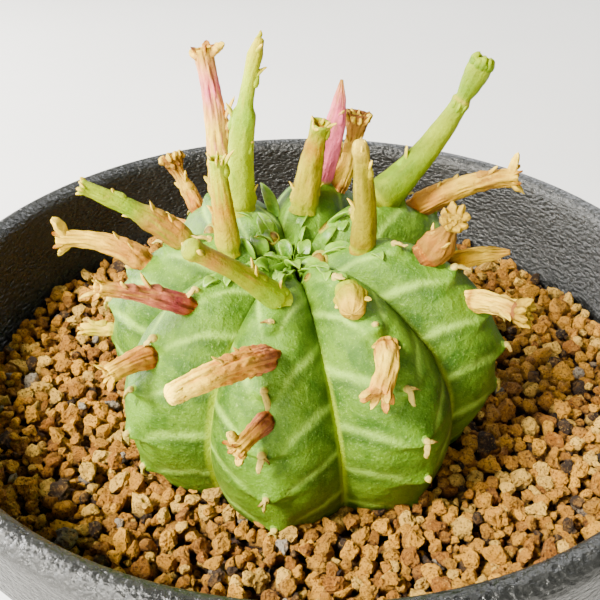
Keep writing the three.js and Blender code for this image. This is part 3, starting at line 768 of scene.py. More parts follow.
# turn, polar, start, end and length say the same as the CAD part. radii: (share of the length,
# radius). bow and sway: how far the middle is raised and how far the stalk weaves. tone: colours from
# base to tip, and level: how light they are. dry: how dead the stalk is. bracts: (share of the length,
# side in degrees, length). tip: how it ends. fork: side and length of each prong. facing: heading and
# rise of a rosette.
STALK_DEFAULTS = dict(bow=0.0, sway=0.2, level=1.0, bracts=[])
STALKS = [
    dict(turn=7.9, polar=45, start=(150, 86), end=(-110, 80), length=22,
         sway=0.4, dry=0.4, level=0.85, tip="fork", fork=(90, 2.2, 270, 1.2),
         radii=[(0, 1.9), (0.15, 1.75), (0.6, 1.6), (0.78, 1.3), (0.92, 1.35), (1, 1.5)],
         bracts=[(0.56, 90, 4.2), (0.5, 80, 2.0), (0.3, 260, 1.0)],
         tone=[CREAM, CREAM, PALE, ROSE, CREAM]),
    dict(turn=0, polar=23, start=(-95, 84), end=(85, 70), length=24,
         sway=0.5, dry=0.05, tip="split",
         radii=[(0, 1.9), (0.3, 1.8), (0.6, 1.65), (0.65, 1.05), (0.82, 0.92), (0.92, 1.05),
                (1, 0.6)],
         bracts=[(0.12, 90, 1.8), (0.57, 270, 2.6), (0.45, 60, 0.8), (0.82, 90, 2.0)],
         tone=[RING, LIME, LIME, FRESH, LIME, YELLOW]),
    dict(turn=1.15, polar=18.5, start=(-95, 86), end=(-110, 86), length=13,
         dry=0.2, tip="cut", radii=[(0, 1.75), (0.3, 1.6), (0.9, 1.1), (1, 1.05)],
         bracts=[(0.45, 270, 1.8), (0.72, 250, 2.0), (0.95, 90, 2.6)],
         tone=[RING, YELLOW, ORANGE, YELLOW, LIME]),
    dict(turn=3, polar=25, start=(-45, 42), end=(-58, 46), length=16.5,
         bow=0.9, dry=0.12, level=1.3, tip="knob",
         radii=[(0, 1.8), (0.15, 1.65), (0.35, 1.35), (0.6, 1.15), (0.88, 1.1), (1, 1.3)],
         bracts=[(0.12, 60, 1.6), (0.33, 110, 2.4), (0.36, 60, 2.0), (0.6, 200, 1.4)],
         tone=[LIME, FRESH, OLIVE, OLIVE, TAN, OLIVE]),
    dict(turn=1, polar=31, start=(-85, 44), end=(-78, 28), length=16,
         dry=0.25, level=0.75, tip="cut",
         radii=[(0, 1.6), (0.2, 1.8), (0.42, 1.7), (0.52, 1.25), (0.9, 0.95), (1, 1.0)],
         bracts=[(0.25, 80, 1.6), (0.42, 90, 1.8), (0.55, 260, 1.4), (0.75, 100, 0.9)],
         tone=[RING, PEACH, TAN, FRESH, LIME, LIME]),
    dict(turn=1, polar=49, start=(-85, 40), end=(-92, 0), length=12,
         bow=0.5, dry=0.6, tip="fork", fork=(90, 2.6, 255, 2.7),
         radii=[(0, 1.5), (0.2, 1.75), (0.6, 1.25), (0.85, 1.1), (1, 1.5)],
         bracts=[(0.25, 60, 1.4), (0.4, 90, 1.6), (0.45, 200, 1.4)], tone=[TAN, PEACH, CREAM, CREAM]),
    dict(turn=2, polar=37, start=(-52, 30), end=(-54, 34), length=13.4,
         bow=0.6, dry=0.5, level=1.3, tip="shreds",
         radii=[(0, 1.35), (0.1, 1.5), (0.35, 1.3), (0.55, 1.05), (0.85, 0.85), (1, 0.9)],
         bracts=[(0.5, 100, 3.0), (0.75, 60, 1.6), (0.65, 200, 1.4)],
         tone=[RUST, MAUVE, PINK, PINK, CREAM]),
    dict(turn=2, polar=56, start=(-45, 22), end=(-42, -4), length=6.8,
         sway=0.1, dry=0.8, tip="shreds", radii=[(0, 1.4), (0.15, 1.65), (0.6, 1.3), (1, 1.1)],
         bracts=[(0.6, 200, 1.4)], tone=[RUST, PEACH, PEACH, CREAM]),
    dict(turn=3, polar=44, start=(-24, 22), end=(-50, 12), length=16.5,
         bow=1.1, dry=0.8, level=1.3, tip="blunt",
         radii=[(0, 1.4), (0.08, 1.65), (0.4, 1.6), (0.85, 1.3), (1, 1.15)],
         bracts=[(0.4, 110, 1.6), (0.6, 90, 2.0), (0.3, 300, 1.2), (0.62, 210, 1.4)],
         tone=[RUST, PINK, PEACH, PEACH, CREAM, PALE]),
    dict(turn=3, polar=62, start=(-20, 16), end=(-42, -6), length=6.4,
         sway=0.1, dry=0.8, tip="fork", radii=[(0, 1.15), (0.15, 1.35), (0.7, 1.0), (1, 1.1)],
         tone=[RUST, PINK, PEACH, CREAM]),
    dict(turn=4, polar=48, start=(6, 14), end=(-22, -30), length=7.6,
         sway=0.1, dry=0.7, tip="shreds", radii=[(0, 1.4), (0.2, 1.6), (0.7, 1.25), (1, 1.35)],
         bracts=[(0.1, 160, 1.2), (0.12, 20, 1.2)], tone=[CREAM, PEACH, PALE, CREAM, PEACH]),
    dict(turn=4, polar=29, start=(14, 16), end=(-4, -6), length=3.6,
         sway=0.0, dry=0.3, level=0.75, tip="stub", radii=[(0, 1.75), (0.5, 1.95), (1, 1.5)],
         bracts=[(0.6, 20, 1.6), (0.5, 200, 0.9)], tone=[LIME, YELLOW, YELLOW, CREAM]),
    dict(turn=5, polar=20, start=(40, 84), end=(-70, 80), length=15,
         sway=0.3, dry=0.12, level=0.5, tip="knob",
         radii=[(0, 1.85), (0.3, 1.6), (0.6, 1.35), (0.8, 1.1), (0.86, 0.98), (0.93, 1.15),
                (1, 0.85)],
         bracts=[(0.42, 270, 2.2), (0.8, 60, 1.3)],
         tone=[ORANGE, YELLOW, YELLOW, YELLOW, YELLOW, PALE]),
    dict(turn=7, polar=18, start=(150, 76), end=(60, 74), length=12.5,
         dry=0.25, level=0.75, tip="cut",
         radii=[(0, 2.1), (0.2, 1.95), (0.6, 1.6), (0.85, 1.25), (1, 1.4)],
         bracts=[(0.22, 270, 1.8), (0.3, 90, 1.2), (0.95, 90, 1.6)],
         tone=[RING, YELLOW, YELLOW, ORANGE, LIME]),
    dict(turn=6.92, polar=35, start=(100, 74), end=(110, 84), length=15.5,
         sway=0.3, dry=0.25, tip="point",
         radii=[(0, 1.7), (0.3, 1.75), (0.6, 1.5), (0.85, 0.9), (1, 0.15)], bracts=[(0.72, 30, 1.0)],
         tone=[MAUVE, ROSE, ROSE, ROSE, TAN]),
    dict(turn=6.75, polar=42, start=(120, 62), end=(150, 78), length=11.5,
         dry=0.9, tip="head", radii=[(0, 1.4), (0.4, 1.3), (0.7, 1.1), (0.82, 1.5), (1, 2.0)],
         bracts=[(0.4, 270, 2.2), (0.45, 240, 1.6), (0.65, 90, 1.2)],
         tone=[PINK, CREAM, PALE, TAN, BROWN]),
    dict(turn=6.1, polar=34.5, start=(104, 44), end=(96, 66), length=23.5,
         bow=-0.8, dry=0.03, level=0.55, tip="bud",
         radii=[(0, 2.75), (0.12, 2.6), (0.3, 2.05), (0.6, 1.55), (0.74, 1.25), (0.775, 1.3),
                (0.79, 1.0), (0.84, 1.35), (0.93, 1.75), (1, 1.6)],
         bracts=[(0.33, 90, 2.4), (0.3, 270, 1.2), (0.06, 290, 1.8)],
         tone=[OLIVE, FRESH, FRESH, LIME, LIME, FRESH, LIME]),
    dict(turn=6, polar=50, start=(84, 32), end=(86, 14), length=15,
         bow=0.3, sway=0.3, dry=0.7, level=0.8, tip="fork", fork=(90, 2.7, 265, 2.2),
         radii=[(0, 1.5), (0.1, 1.85), (0.4, 1.65), (0.8, 1.25), (1, 1.35)],
         bracts=[(0.3, 90, 1.2), (0.45, 60, 1.2), (0.75, 100, 2.0)],
         tone=[TAN, PEACH, CREAM, TAN, CREAM]),
    dict(turn=5.05, polar=39.5, start=(92, 36), end=(60, 80), length=6.2,
         sway=0.0, dry=0.75, level=0.6, tip="rosette", facing=(8, 42),
         radii=[(0, 2.0), (0.15, 2.3), (0.5, 2.2), (0.7, 1.4), (0.85, 1.0), (1, 0.95)],
         bracts=[(0.5, 40, 1.6), (0.55, 320, 2.2), (0.55, 180, 1.8)],
         tone=[BROWN, TAN, PEACH, TAN, TAN]),
    dict(turn=4.92, polar=59.5, start=(62, 20), end=(40, 2), length=6.5,
         sway=0.0, dry=0.7, tip="rosette", facing=(60, 10),
         radii=[(0, 1.3), (0.15, 1.55), (0.7, 1.3), (1, 1.1)],
         bracts=[(0.8, 180, 2.6), (0.82, 20, 2.2)], tone=[PALE, CREAM, PALE, TAN]),
    dict(turn=5.3, polar=55, start=(84, 20), end=(78, 16), length=8.5,
         sway=0.1, dry=0.85, tip="point", radii=[(0, 1.3), (0.3, 1.4), (0.75, 1.0), (1, 0.3)],
         tone=[TAN, ORANGE, CREAM, TAN]),
    dict(turn=0, polar=60, start=(-135, 46), end=(-128, 60), length=9.5,
         sway=0.3, dry=0.9, tip="head",
         radii=[(0, 1.4), (0.4, 1.1), (0.7, 0.85), (0.82, 1.3), (1, 1.75)],
         bracts=[(0.3, 270, 1.8), (0.42, 250, 2.0), (0.55, 90, 2.2), (0.5, 290, 1.6)],
         tone=[TAN, PEACH, CREAM, TAN, BROWN]),
    dict(turn=1, polar=89, start=(-96, 6), end=(-88, -6), length=5,
         sway=0.0, dry=0.3, tip="cut", radii=[(0, 1.1), (0.5, 1.1), (1, 0.9)],
         bracts=[(0.6, 90, 1.6)], tone=[PALE, PALE, YELLOW, CREAM]),
    dict(turn=7, polar=64, start=(166, 20), end=(176, 6), length=9,
         dry=0.9, tip="shreds", radii=[(0, 1.4), (0.15, 1.65), (0.7, 1.2), (1, 1.2)],
         bracts=[(0.5, 200, 1.8)], tone=[BROWN, TAN, PEACH, CREAM]),
    dict(turn=0, polar=80, start=(-140, 6), end=(-132, -8), length=6.5,
         sway=0.0, dry=0.8, tip="fork", radii=[(0, 1.2), (0.2, 1.4), (1, 1.1)],
         tone=[PINK, PEACH, PEACH, CREAM]),
]


# Ends with one ring of lobes: how many, how far they lean out, their shortest and longest reach,
# width as a share of the tip's radius, curl, how far back they start, and flatness
LOBE_RINGS = {
    "cut": (6, 0.2, 0.35, 0.9, 0.5, 0.5, 0.3, 0.4),
    "knob": (4, 0.1, 0.7, 1.2, 0.55, -0.4, 0.6, 0.5),
    "blunt": (6, 0.05, 0.6, 1.3, 0.5, -0.5, 0.7, 0.5),
}


def tone_along(tone, share):
    """Colours blended along a stalk from base to tip."""
    places = np.linspace(0, 1, len(tone))
    return np.stack([np.interp(share, places, [c[i] for c in tone]) for i in range(3)], -1)


def add_flake(parts, base, way, curl, length, width, colour, edge, dry,
              blunt=0.4, flatness=0.32, crumple=0.1):
    """A bract, lobe or papery shred: it leaves its base along way, curls over and may end bluntly."""
    end = unit(way + curl)
    path = bent_path(base - way * width * 0.7, way, end, length + width * 0.7, 11)
    share = np.linspace(0, 1, 12)
    radii = width * np.clip((1 - share) / blunt, 0, 1) ** 0.55 * np.clip(0.75 + share, 0, 1)
    radii[-1] = 0.02
    points, faces, along, around = loft(path, radii, 10, flatness)
    seed = int(abs(base @ np.array([7.3, 3.1, 5.7])) * 50) % 9973
    creases = np.stack([wobble(points, 1.5, seed + k) for k in range(3)], -1)
    points = points + crumple * creases * along[:, None] ** 0.5
    share_out = np.clip(along * 1.3 - 0.25, 0, 1)[:, None]
    tint = np.asarray(colour) * (1 - share_out) + np.asarray(edge) * share_out
    tint = tint * (0.9 + 0.2 * wobble(points, 1.0, seed + 5))[:, None]
    parts.add(points, faces, stalk_colour=tint, dryness=dry, fibre=0.5 + 0.3 * np.sin(around * 3))


HOLLOW_ENDS = ("fork", "shreds", "cut", "head", "bud")
SINK = 0.9  # how far a stalk starts inside the skin
STALK_SIDES = 40
CUP_PLACE = 0.765  # share of the length where the youngest stretch leaves its cup


class Stalk:
    """One flower stalk: its wrinkled skin, its bracts and its end, gathered into one mesh."""

    def __init__(self, index, looks):
        self.index = index
        self.looks = STALK_DEFAULTS | looks
        self.length = looks["length"]
        self.dry = looks["dry"]
        self.kind = looks["tip"]
        self.source = np.random.default_rng(100 + index)
        self.parts = Patchwork()
        self.lay_out()
        self.add_skin()
        for place, degrees, reach in self.looks["bracts"]:
            self.add_bract(place, degrees, reach)
        self.add_end()

    def lay_out(self):
        """The stalk's line, its directions and its radii."""
        looks = self.looks
        start = direction(*looks["start"])
        end = direction(*looks["end"])
        root = globe_points(float(looks["turn"]), math.radians(looks["polar"]))
        self.steps = max(26, int(self.length * 4))
        path = bent_path(root - start * SINK, start, end, self.length + SINK, self.steps)
        share = np.linspace(0, 1, self.steps + 1)
        _, across, up = frames_along(path)
        sway = looks["sway"] * np.sin(share * np.pi * 1.6 + self.source.uniform(0, 6)) * share
        path = path + across * sway[:, None] + up * (sway * 0.4)[:, None]
        path[:, 2] += looks["bow"] * np.sin(np.pi * share)
        self.path = path
        self.tangents, self.across, self.up = frames_along(path)

        places, sizes = zip(*looks["radii"])
        radii = np.interp(share, places, sizes)
        radii = np.convolve(np.pad(radii, 1, mode="edge"), [0.25, 0.5, 0.25], "valid")
        beyond = share * (self.length + SINK) - SINK
        self.radii = radii * (1 - 0.13 * np.exp(-(((beyond + 0.1) / 0.5) ** 2)))
        self.tip = path[-1]
        self.way = self.tangents[-1]
        self.tip_radius = float(self.radii[-1])
        self.last = tone_along(looks["tone"], np.array([0.95]))[0]

    def add_skin(self):
        """The ridged and wrinkled bar, hollow where the stalk broke off, or domed."""
        dry = self.dry
        if self.kind in HOLLOW_ENDS:
            deep = 0.9 if self.kind in ("head", "bud") else 0.55
            more = [(0.0, 0.82), (-0.12, 0.68), (-deep, 0.58), (-deep - 0.1, 0.02)]
        else:
            high = (0.25 if self.kind == "point" else 0.55) * self.tip_radius
            more = [(high * 0.45, 0.85), (high * 0.85, 0.5), (high, 0.02)]
        full = np.vstack([self.path] + [self.tip + self.way * out for out, _ in more])
        radii = np.concatenate([self.radii, [self.tip_radius * factor for _, factor in more]])
        axes = (self.tangents, self.across, self.up)
        grown = [np.vstack([axis, np.repeat(axis[-1:], len(more), 0)]) for axis in axes]

        ridges = int(self.source.integers(3, 6))
        phase = self.source.uniform(0, 6.3)
        depth = 0.018 + 0.055 * dry

        def ripple(along, around):
            twist = around + 0.8 * along + phase
            uneven = 0.6 + 0.4 * np.sin(twist * 2 + 5 * along)
            return 1 + depth * np.sin(twist * ridges) * uneven

        points, faces, along, around = loft(full, radii, STALK_SIDES, ripple=ripple, frames=grown)
        real = np.minimum(along * (len(full) - 1) / self.steps, 1.0)
        out = unit(points - np.repeat(full, STALK_SIDES, 0))
        stretched = np.column_stack([real * self.length * 0.4, np.cos(around) * 1.9, np.sin(around) * 1.9])
        wrinkle = wobble(stretched, 2.2, 300 + self.index) * (0.03 + 0.14 * dry)
        wrinkle += wobble(points, 1.6, 340 + self.index) * (0.02 + 0.09 * dry)
        threads = np.column_stack([real * self.length * 0.3, np.cos(around) * 3, np.sin(around) * 3])
        fibre = 0.5 + 0.7 * wobble(threads, 1.7, 420 + self.index)
        wrinkle += (fibre - 0.5) * (0.02 + 0.13 * dry)
        points = points + out * wrinkle[:, None]
        pit = np.concatenate([np.zeros(len(self.path) + 1), np.linspace(0.5, 1, len(more) - 1)])
        colour = self.skin_colour(points, real, stretched, np.repeat(pit, STALK_SIDES)[:, None])
        self.parts.add(points, faces, stalk_colour=colour, dryness=dry, fibre=fibre)

    def skin_colour(self, points, real, stretched, inside):
        """Streaked colours from base to tip, with a ring at the base and a dark pit in the end."""
        tone = self.looks["tone"]
        colour = tone_along(tone, real)
        streak = wobble(stretched * [0.5, 1.6, 1.6], 1.5, 380 + self.index)[:, None]
        ahead = tone_along(tone, np.clip(real + 0.35, 0, 1))
        colour = colour + (ahead - colour) * np.clip(streak, 0, 1) * 0.7
        uneven = 1 + 0.22 * wobble(points, 3.0, 40 + self.index)[:, None]
        colour = colour * uneven * self.looks["level"]
        beyond = real * (self.length + SINK) - SINK
        basal = np.exp(-(((beyond - 0.15) / 0.5) ** 2))[:, None]
        colour = colour * (1 - 0.75 * basal) + np.array(RING if self.dry < 0.5 else RUST) * 0.75 * basal
        if self.kind in HOLLOW_ENDS:
            pit = np.array(FRESH if self.kind == "bud" else BROWN if self.dry > 0.6 else RUST)
            colour = colour * (1 - inside * 0.85) + pit * inside * 0.85
        if self.kind == "bud":
            joint = np.exp(-(((real - 0.775) / 0.01) ** 2))[:, None]
            colour = colour * (1 - 0.5 * joint) + np.array(PALE) * 0.25 * joint
        return colour

    def side_at(self, place, degrees):
        """The step at this share of the length, and a direction out of the stalk there."""
        i = int(round(place * self.steps))
        a = math.radians(degrees)
        return i, unit(self.across[i] * math.cos(a) + self.up[i] * math.sin(a))

    def flake(self, base, way, curl, length, width, colour, edge, **shape):
        add_flake(self.parts, base, way, curl, length, width, colour, edge, self.dry, **shape)

    def lobe(self, degrees, out, reach, width, colour, edge, curl=0.5, back=0.0,
             flatness=0.32, blunt=0.4, crumple=0.14):
        """A lobe on the tip. width is a share of the tip's radius."""
        _, side = self.side_at(1.0, degrees)
        heading = unit(self.way * (1 - out) + side * out)
        spot = self.tip - self.way * back + side * self.tip_radius * 0.78
        self.flake(spot, heading, side * curl, reach, self.tip_radius * width, colour, edge,
                   blunt=blunt, flatness=flatness, crumple=crumple)

    def add_bract(self, place, degrees, reach):
        """The cushion along the stalk that a bract stands on, then the bract itself."""
        i, side = self.side_at(place, degrees)
        along = self.tangents[i]
        tint = tone_along(self.looks["tone"], np.array([place]))[0]
        spot = self.path[i] + side * self.radii[i] * 0.8
        width = 0.48 + 0.08 * reach
        self.flake(spot - along * 1.1, along, side * 0.15, 1.6, width * 1.25, tint, tint,
                   blunt=0.7, flatness=0.8, crumple=0.05)
        curl = side * self.source.uniform(0.1, 0.8)
        self.flake(spot, unit(along * 1.2 + side * 0.6), curl, reach * 0.9, width,
                   tint, np.array(PALE) * 1.05, blunt=0.6, flatness=0.42)

    def add_end(self):
        uniform = self.source.uniform
        lobe = self.lobe
        kind = self.kind
        last = self.last
        turned = uniform(0, 360)
        if kind == "fork":
            prong = min(1.0, self.length / 12) * 2.7
            prongs = self.looks.get("fork", (turned, prong, turned + 170, prong * 1.1))
            lobe(prongs[0], 0.7, prongs[1], 0.75, last, PALE, 0.1, 0.8, 0.6, 0.4, 0.25)
            lobe(prongs[2], 0.4, prongs[3], 0.72, last, PALE, 0.5, 0.7, 0.5, 0.6, 0.25)
            for k in range(5):
                lobe(turned + 30 + 70 * k, 0.3, uniform(0.6, 1.4), 0.42, last, RUST, 0.7, 0.35)
        elif kind == "split":
            lobe(200, 0.1, 1.9, 0.9, LIME, YELLOW, -0.2, 0.7, 0.8, 0.7)
            lobe(20, 0.25, 1.5, 0.8, LIME, PALE, 0.3, 1.4, 0.7, 0.7)
        elif kind == "shreds":
            for k in range(7):
                lobe(51 * k + uniform(-15, 15), uniform(0.1, 0.45), uniform(0.9, 2.3),
                     uniform(0.32, 0.55), last, PALE if k % 2 else PEACH, uniform(0, 1), 0.4)
        elif kind in LOBE_RINGS:
            count, out, shortest, longest, width, curl, back, flatness = LOBE_RINGS[kind]
            for k in range(count):
                lobe(360 / count * k + uniform(-18, 18), out, uniform(shortest, longest),
                     width, last, PALE, curl, back, flatness)
        elif kind == "bud":
            self.add_bud()
        elif kind == "head":
            self.add_head()
        elif kind == "rosette":
            self.add_rosette()

    def add_bud(self):
        """A green bud, and the cup lower down that the youngest stretch grows out of."""
        uniform = self.source.uniform
        green = np.array(FRESH) * 0.6
        lip = np.array(LIME) * 0.75
        for k in range(9):
            self.lobe(40 * k + uniform(-8, 8), 0.12, uniform(0.8, 1.3), 0.55, green, lip,
                      -0.7, 0.5, 0.6, 0.35, 0.1)
        for k in range(5):
            self.lobe(72 * k + 20, -0.35, 0.8, 0.5, green, green, 0.0, 0.5, 0.7, 0.5, 0.08)
        for k in range(7):
            i, side = self.side_at(CUP_PLACE, 51.4 * k)
            along = self.tangents[i]
            spot = self.path[i] - along * 0.9 + side * self.radii[i] * 0.72
            self.flake(spot, unit(along + side * 0.1), side * 0.1, 1.3 + 0.3 * math.cos(k), 0.62,
                       green, lip * 1.1, blunt=0.3, flatness=0.45)

    def add_head(self):
        """A dead flower head: a ragged cup with scales under it."""
        uniform = self.source.uniform
        for k in range(9):
            self.lobe(40 * k + uniform(-10, 10), uniform(0.15, 0.35), uniform(0.5, 0.9), 0.5, TAN, PALE,
                      uniform(0.6, 1.2), 0.5, 0.45, 0.4, 0.25)
        for k in range(14):
            i, side = self.side_at(uniform(0.8, 0.97), 51 * k)
            spot = self.path[i] + side * self.radii[i] * 0.75
            self.flake(spot, unit(self.tangents[i] + side * 0.4), side * uniform(-0.6, 0.6),
                       uniform(0.5, 1.1), 0.6, BROWN, TAN, flatness=0.6, crumple=0.3)

    def add_rosette(self):
        """A dry flower head of packed lobes round a dark middle."""
        facing = direction(*self.looks["facing"])
        side_a = unit(np.cross(facing, [0.0, 0.0, 1.0]))
        side_b = np.cross(facing, side_a)
        heart = self.tip + facing * 0.4
        dull = np.array(TAN) * 0.45
        edge = np.array(CREAM) * 0.75
        for ring, (count, reach, size, lift) in enumerate([(8, 1.8, 1.0, 0.0), (6, 0.95, 0.8, 0.6)]):
            for k in range(count):
                angle = 2 * np.pi * (k + 0.4 * ring) / count + self.source.uniform(-0.15, 0.15)
                side = side_a * math.cos(angle) + side_b * math.sin(angle)
                spot = heart + side * reach * 0.35 + facing * lift * 0.5
                heading = unit(side + facing * (0.35 + 0.5 * ring))
                self.flake(spot, heading, facing * 1.5 - side * 0.3, reach * 1.1,
                           size * self.source.uniform(0.8, 1.1), dull, edge,
                           blunt=0.5, flatness=0.75, crumple=0.24)
        core = np.array([heart + facing * out for out in (-1.1, -0.3, 0.2, 0.35)])
        ball, faces, _, _ = loft(core, [0.8, 1.5, 1.2, 0.02], 20)
        self.parts.add(ball, faces, stalk_colour=BROWN, dryness=self.dry, fibre=0.5)

    def build(self, shader):
        piece = self.parts.build(f"stalk_{self.index + 1:02d}")
        node = f"flower_stalk_{self.index + 1:02d}"
        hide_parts(node)
        return dress(piece, shader)


# ---- Young leaves, scars and leaf remains -------------------------------------------------

LEAVES = [
    dict(azimuth=-164, polar=30, heading=-150, rise=62, length=5.0, width=2.0),
    dict(azimuth=96, polar=12, heading=84, rise=24, length=5.4, width=2.2),
    dict(azimuth=130, polar=16, heading=60, rise=62, length=3.6, width=1.6),
    dict(azimuth=-20, polar=10, heading=-10, rise=52, length=3.4, width=1.7),
    dict(azimuth=-118, polar=10, heading=-100, rise=54, length=3.2, width=1.6),
    dict(azimuth=-56, polar=15, heading=-36, rise=44, length=3.8, width=1.7),
    dict(azimuth=40, polar=10, heading=40, rise=44, length=3.2, width=1.6),
    dict(azimuth=-150, polar=12, heading=-130, rise=56, length=3.4, width=1.6),
]
LEAF_GREENS = [(0.05, 0.15, 0.002), (0.12, 0.27, 0.004), (0.08, 0.2, 0.002)]


LEAF_SIDES = 14


def add_leaf(parts, root, start, end, length, width, colour):
    """A pointed leaf, folded along its middle."""
    path = bent_path(root - start * 0.6, start, end, length + 0.6, 14)
    share = np.linspace(0, 1, 15)
    radii = width * 0.5 * (np.sin(np.pi * (0.26 + 0.74 * share)) ** 0.75)
    radii[-1] = 0.02
    points, faces, along, around = loft(path, radii, LEAF_SIDES, 0.32)
    _, _, up = frames_along(path)
    fold = (np.abs(np.cos(around)) ** 1.5 * np.repeat(radii, LEAF_SIDES) * 0.55)[:, None]
    points = points + np.repeat(up, LEAF_SIDES, axis=0) * fold
    rim = (np.abs(np.cos(around)) ** 6 * 0.5 + 0.5 * along**3)[:, None]
    tint = np.array(colour) * (1 - rim) + np.array([0.26, 0.42, 0.02]) * rim
    parts.add(points, faces, stalk_colour=tint)


def make_leaves(shader):
    """The eight named leaves, and the many small ones between them."""
    for i, leaf in enumerate(LEAVES):
        parts = Patchwork()
        root = globe_points(rib_turn(leaf["azimuth"]), math.radians(leaf["polar"]))
        start = direction(leaf["heading"], leaf["rise"])
        end = direction(leaf["heading"], leaf["rise"] - 35)
        add_leaf(parts, root, start, end, leaf["length"], leaf["width"], LEAF_GREENS[i % len(LEAF_GREENS)])
        piece = parts.build(f"leaf_{i + 1:02d}")
        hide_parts(f"young_leaf_{i + 1:02d}")
        dress(piece, shader)

    # The smallest leaves, still unfolding round the growing point and along the upper crests
    source = np.random.default_rng(21)
    parts = Patchwork()
    spots = [(i * 0.382 * RIBS % RIBS, 3.0 + 0.7 * i) for i in range(9)]
    for rib in range(RIBS):
        for polar in (9, 13, 17.5, 22, 27):
            spots.append((rib + source.uniform(-0.16, 0.16), polar + source.uniform(-1.5, 1.5)))
    for i, (turn, polar) in enumerate(spots):
        angle = math.radians(polar)
        root = globe_points(turn % RIBS, angle)
        heading = float(rib_azimuth(np.array(turn % RIBS))) + source.uniform(-40, 40)
        rise = source.uniform(30, 80)
        size = source.uniform(1.8, 3.0) if polar < 20 else source.uniform(1.2, 2.0)
        end = direction(heading + source.uniform(-40, 40), rise - 75)
        add_leaf(parts, root, direction(heading, rise), end, size, size * source.uniform(0.7, 0.95),
                 LEAF_GREENS[i % len(LEAF_GREENS)])
    dress(parts.build("crown_leaf_tips"), shader)


# Degrees round the plant, degrees from the crown, and radius
SCARS = [
    (68, 9, 1.25),
    (134, 15, 1.0),
    (-140, 9, 0.95),
    (-125, 17, 0.85),
    (20, 15, 0.6),
    (-123, 41, 1.4),
]


def make_scars(shader):
    """Round scars where stalks have dropped: a cream rim round an orange middle."""
    parts = Patchwork()
    for azimuth, polar, radius in SCARS:
        turn = rib_turn(azimuth)
        angle = math.radians(polar)
        root = globe_points(turn, angle)
        normal = globe_normal(np.array([turn]), np.array([angle]))[0]
        path = np.array([root + normal * out for out in (-0.3, 0.1, 0.3, 0.34, 0.2, 0.16)])
        radii = radius * np.array([1.15, 1.12, 1.0, 0.84, 0.68, 0.02])
        points, faces, _, around = loft(path, radii, 20)
        inner = np.repeat(np.array([0, 0, 0.2, 0.8, 1, 1.0]), 20)[:, None]
        rim = np.array([0.24, 0.26, 0.02])
        core = np.array([0.17, 0.05, 0.0]) * (0.9 + 0.5 * np.sin(around * 3)[:, None])
        colour = rim * (1 - inner) + core * inner
        parts.add(points, faces, stalk_colour=colour, dryness=0.0, fibre=0.5)
    dress(parts.build("stalk_scars"), shader)


def make_leaf_remains(shader):
    """Dried leaf bases on the crests: a small cushion, and often a curled scrap that hangs from it."""
    source = np.random.default_rng(33)
    parts = Patchwork()
    green = np.array([0.17, 0.3, 0.02])
    stalks = [(round(stalk["turn"]) % RIBS, stalk["polar"]) for stalk in STALKS]
    for rib, angles in enumerate(CUSHIONS):
        for degrees in angles:
            if degrees < 20 or degrees > 112:
                continue
            if any(rib == r and abs(degrees - p) < 4 for r, p in stalks):
                degrees += 5
            angle = math.radians(degrees - 1.5)
            turn = rib + source.uniform(-0.015, 0.015)
            root = globe_points(turn, angle)
            normal = globe_normal(np.array([turn % RIBS]), np.array([angle]))[0]
            below = unit(globe_points(turn, angle + 0.05) - root)
            side = np.cross(normal, below)
            tint = np.array([0.55, 0.42, 0.07]) * source.uniform(0.75, 1.15)
            size = source.uniform(0.42, 0.6)
            add_flake(parts, root - normal * 0.5, unit(normal + below * 0.25), below * 0.3, 1.0, size * 1.9,
                      green, green, 0.0, blunt=0.9, flatness=0.8, crumple=0.03)
            add_flake(parts, root, unit(normal + below * 0.2), below * 0.3, size * 1.4, size,
                      tint, tint, 0.1, flatness=0.85)
            if source.uniform() < 0.8:
                sway = source.uniform(-0.5, 0.5)
                way = unit(normal * 0.6 + below * 0.7 + side * sway)
                curl = below * source.uniform(0.8, 1.8) - side * sway - normal * 0.3
                add_flake(parts, root + normal * 0.3, way, curl, source.uniform(1.8, 3.2), 0.42,
                          tint, tint, 0.15, blunt=0.5, flatness=0.55, crumple=0.25)
            if source.uniform() < 0.4:
                way = unit(normal * 0.6 + below * 0.2 + side * source.choice([-1, 1]))
                add_flake(parts, root + normal * 0.3, way, below * 0.6, source.uniform(0.8, 1.5), 0.3,
                          tint, BROWN, 0.5, blunt=0.6, flatness=0.5, crumple=0.2)
    dress(parts.build("dried_leaf_bases"), shader)


# ---- Soil ---------------------------------------------------------------------------------

GRANULES = 5200
GRANULE_RADIUS = 0.88
GRANULE_LIMITS = (0.45, 1.75)
SECTORS = 6  # meshes that the granules are shared out to, by their heading
BLOCKED = 1e3  # height that marks where no granule can lie


def soil_wall(z):
    """Inside radius of the pot at a height, less the clearance."""
    return pot_wall(min(z, WALL_TOP)) - SOIL_CLEARANCE


def plant_outline(azimuth, z):
    """Radius of the plant from its own axis at a height below the equator, for many azimuths."""
    polar = math.acos(np.clip((z - GLOBE_CENTRE[2]) / GLOBE_DROP, -0.95, 0))
    reach = []
    for degrees in np.degrees(azimuth):
        turn = rib_turn((degrees + 180) % 360 - 180)
        place = globe_points(np.array(turn), np.array(polar), fine=False) - GLOBE_CENTRE
        reach.append(math.hypot(place[0], place[1]))
    return np.array(reach)


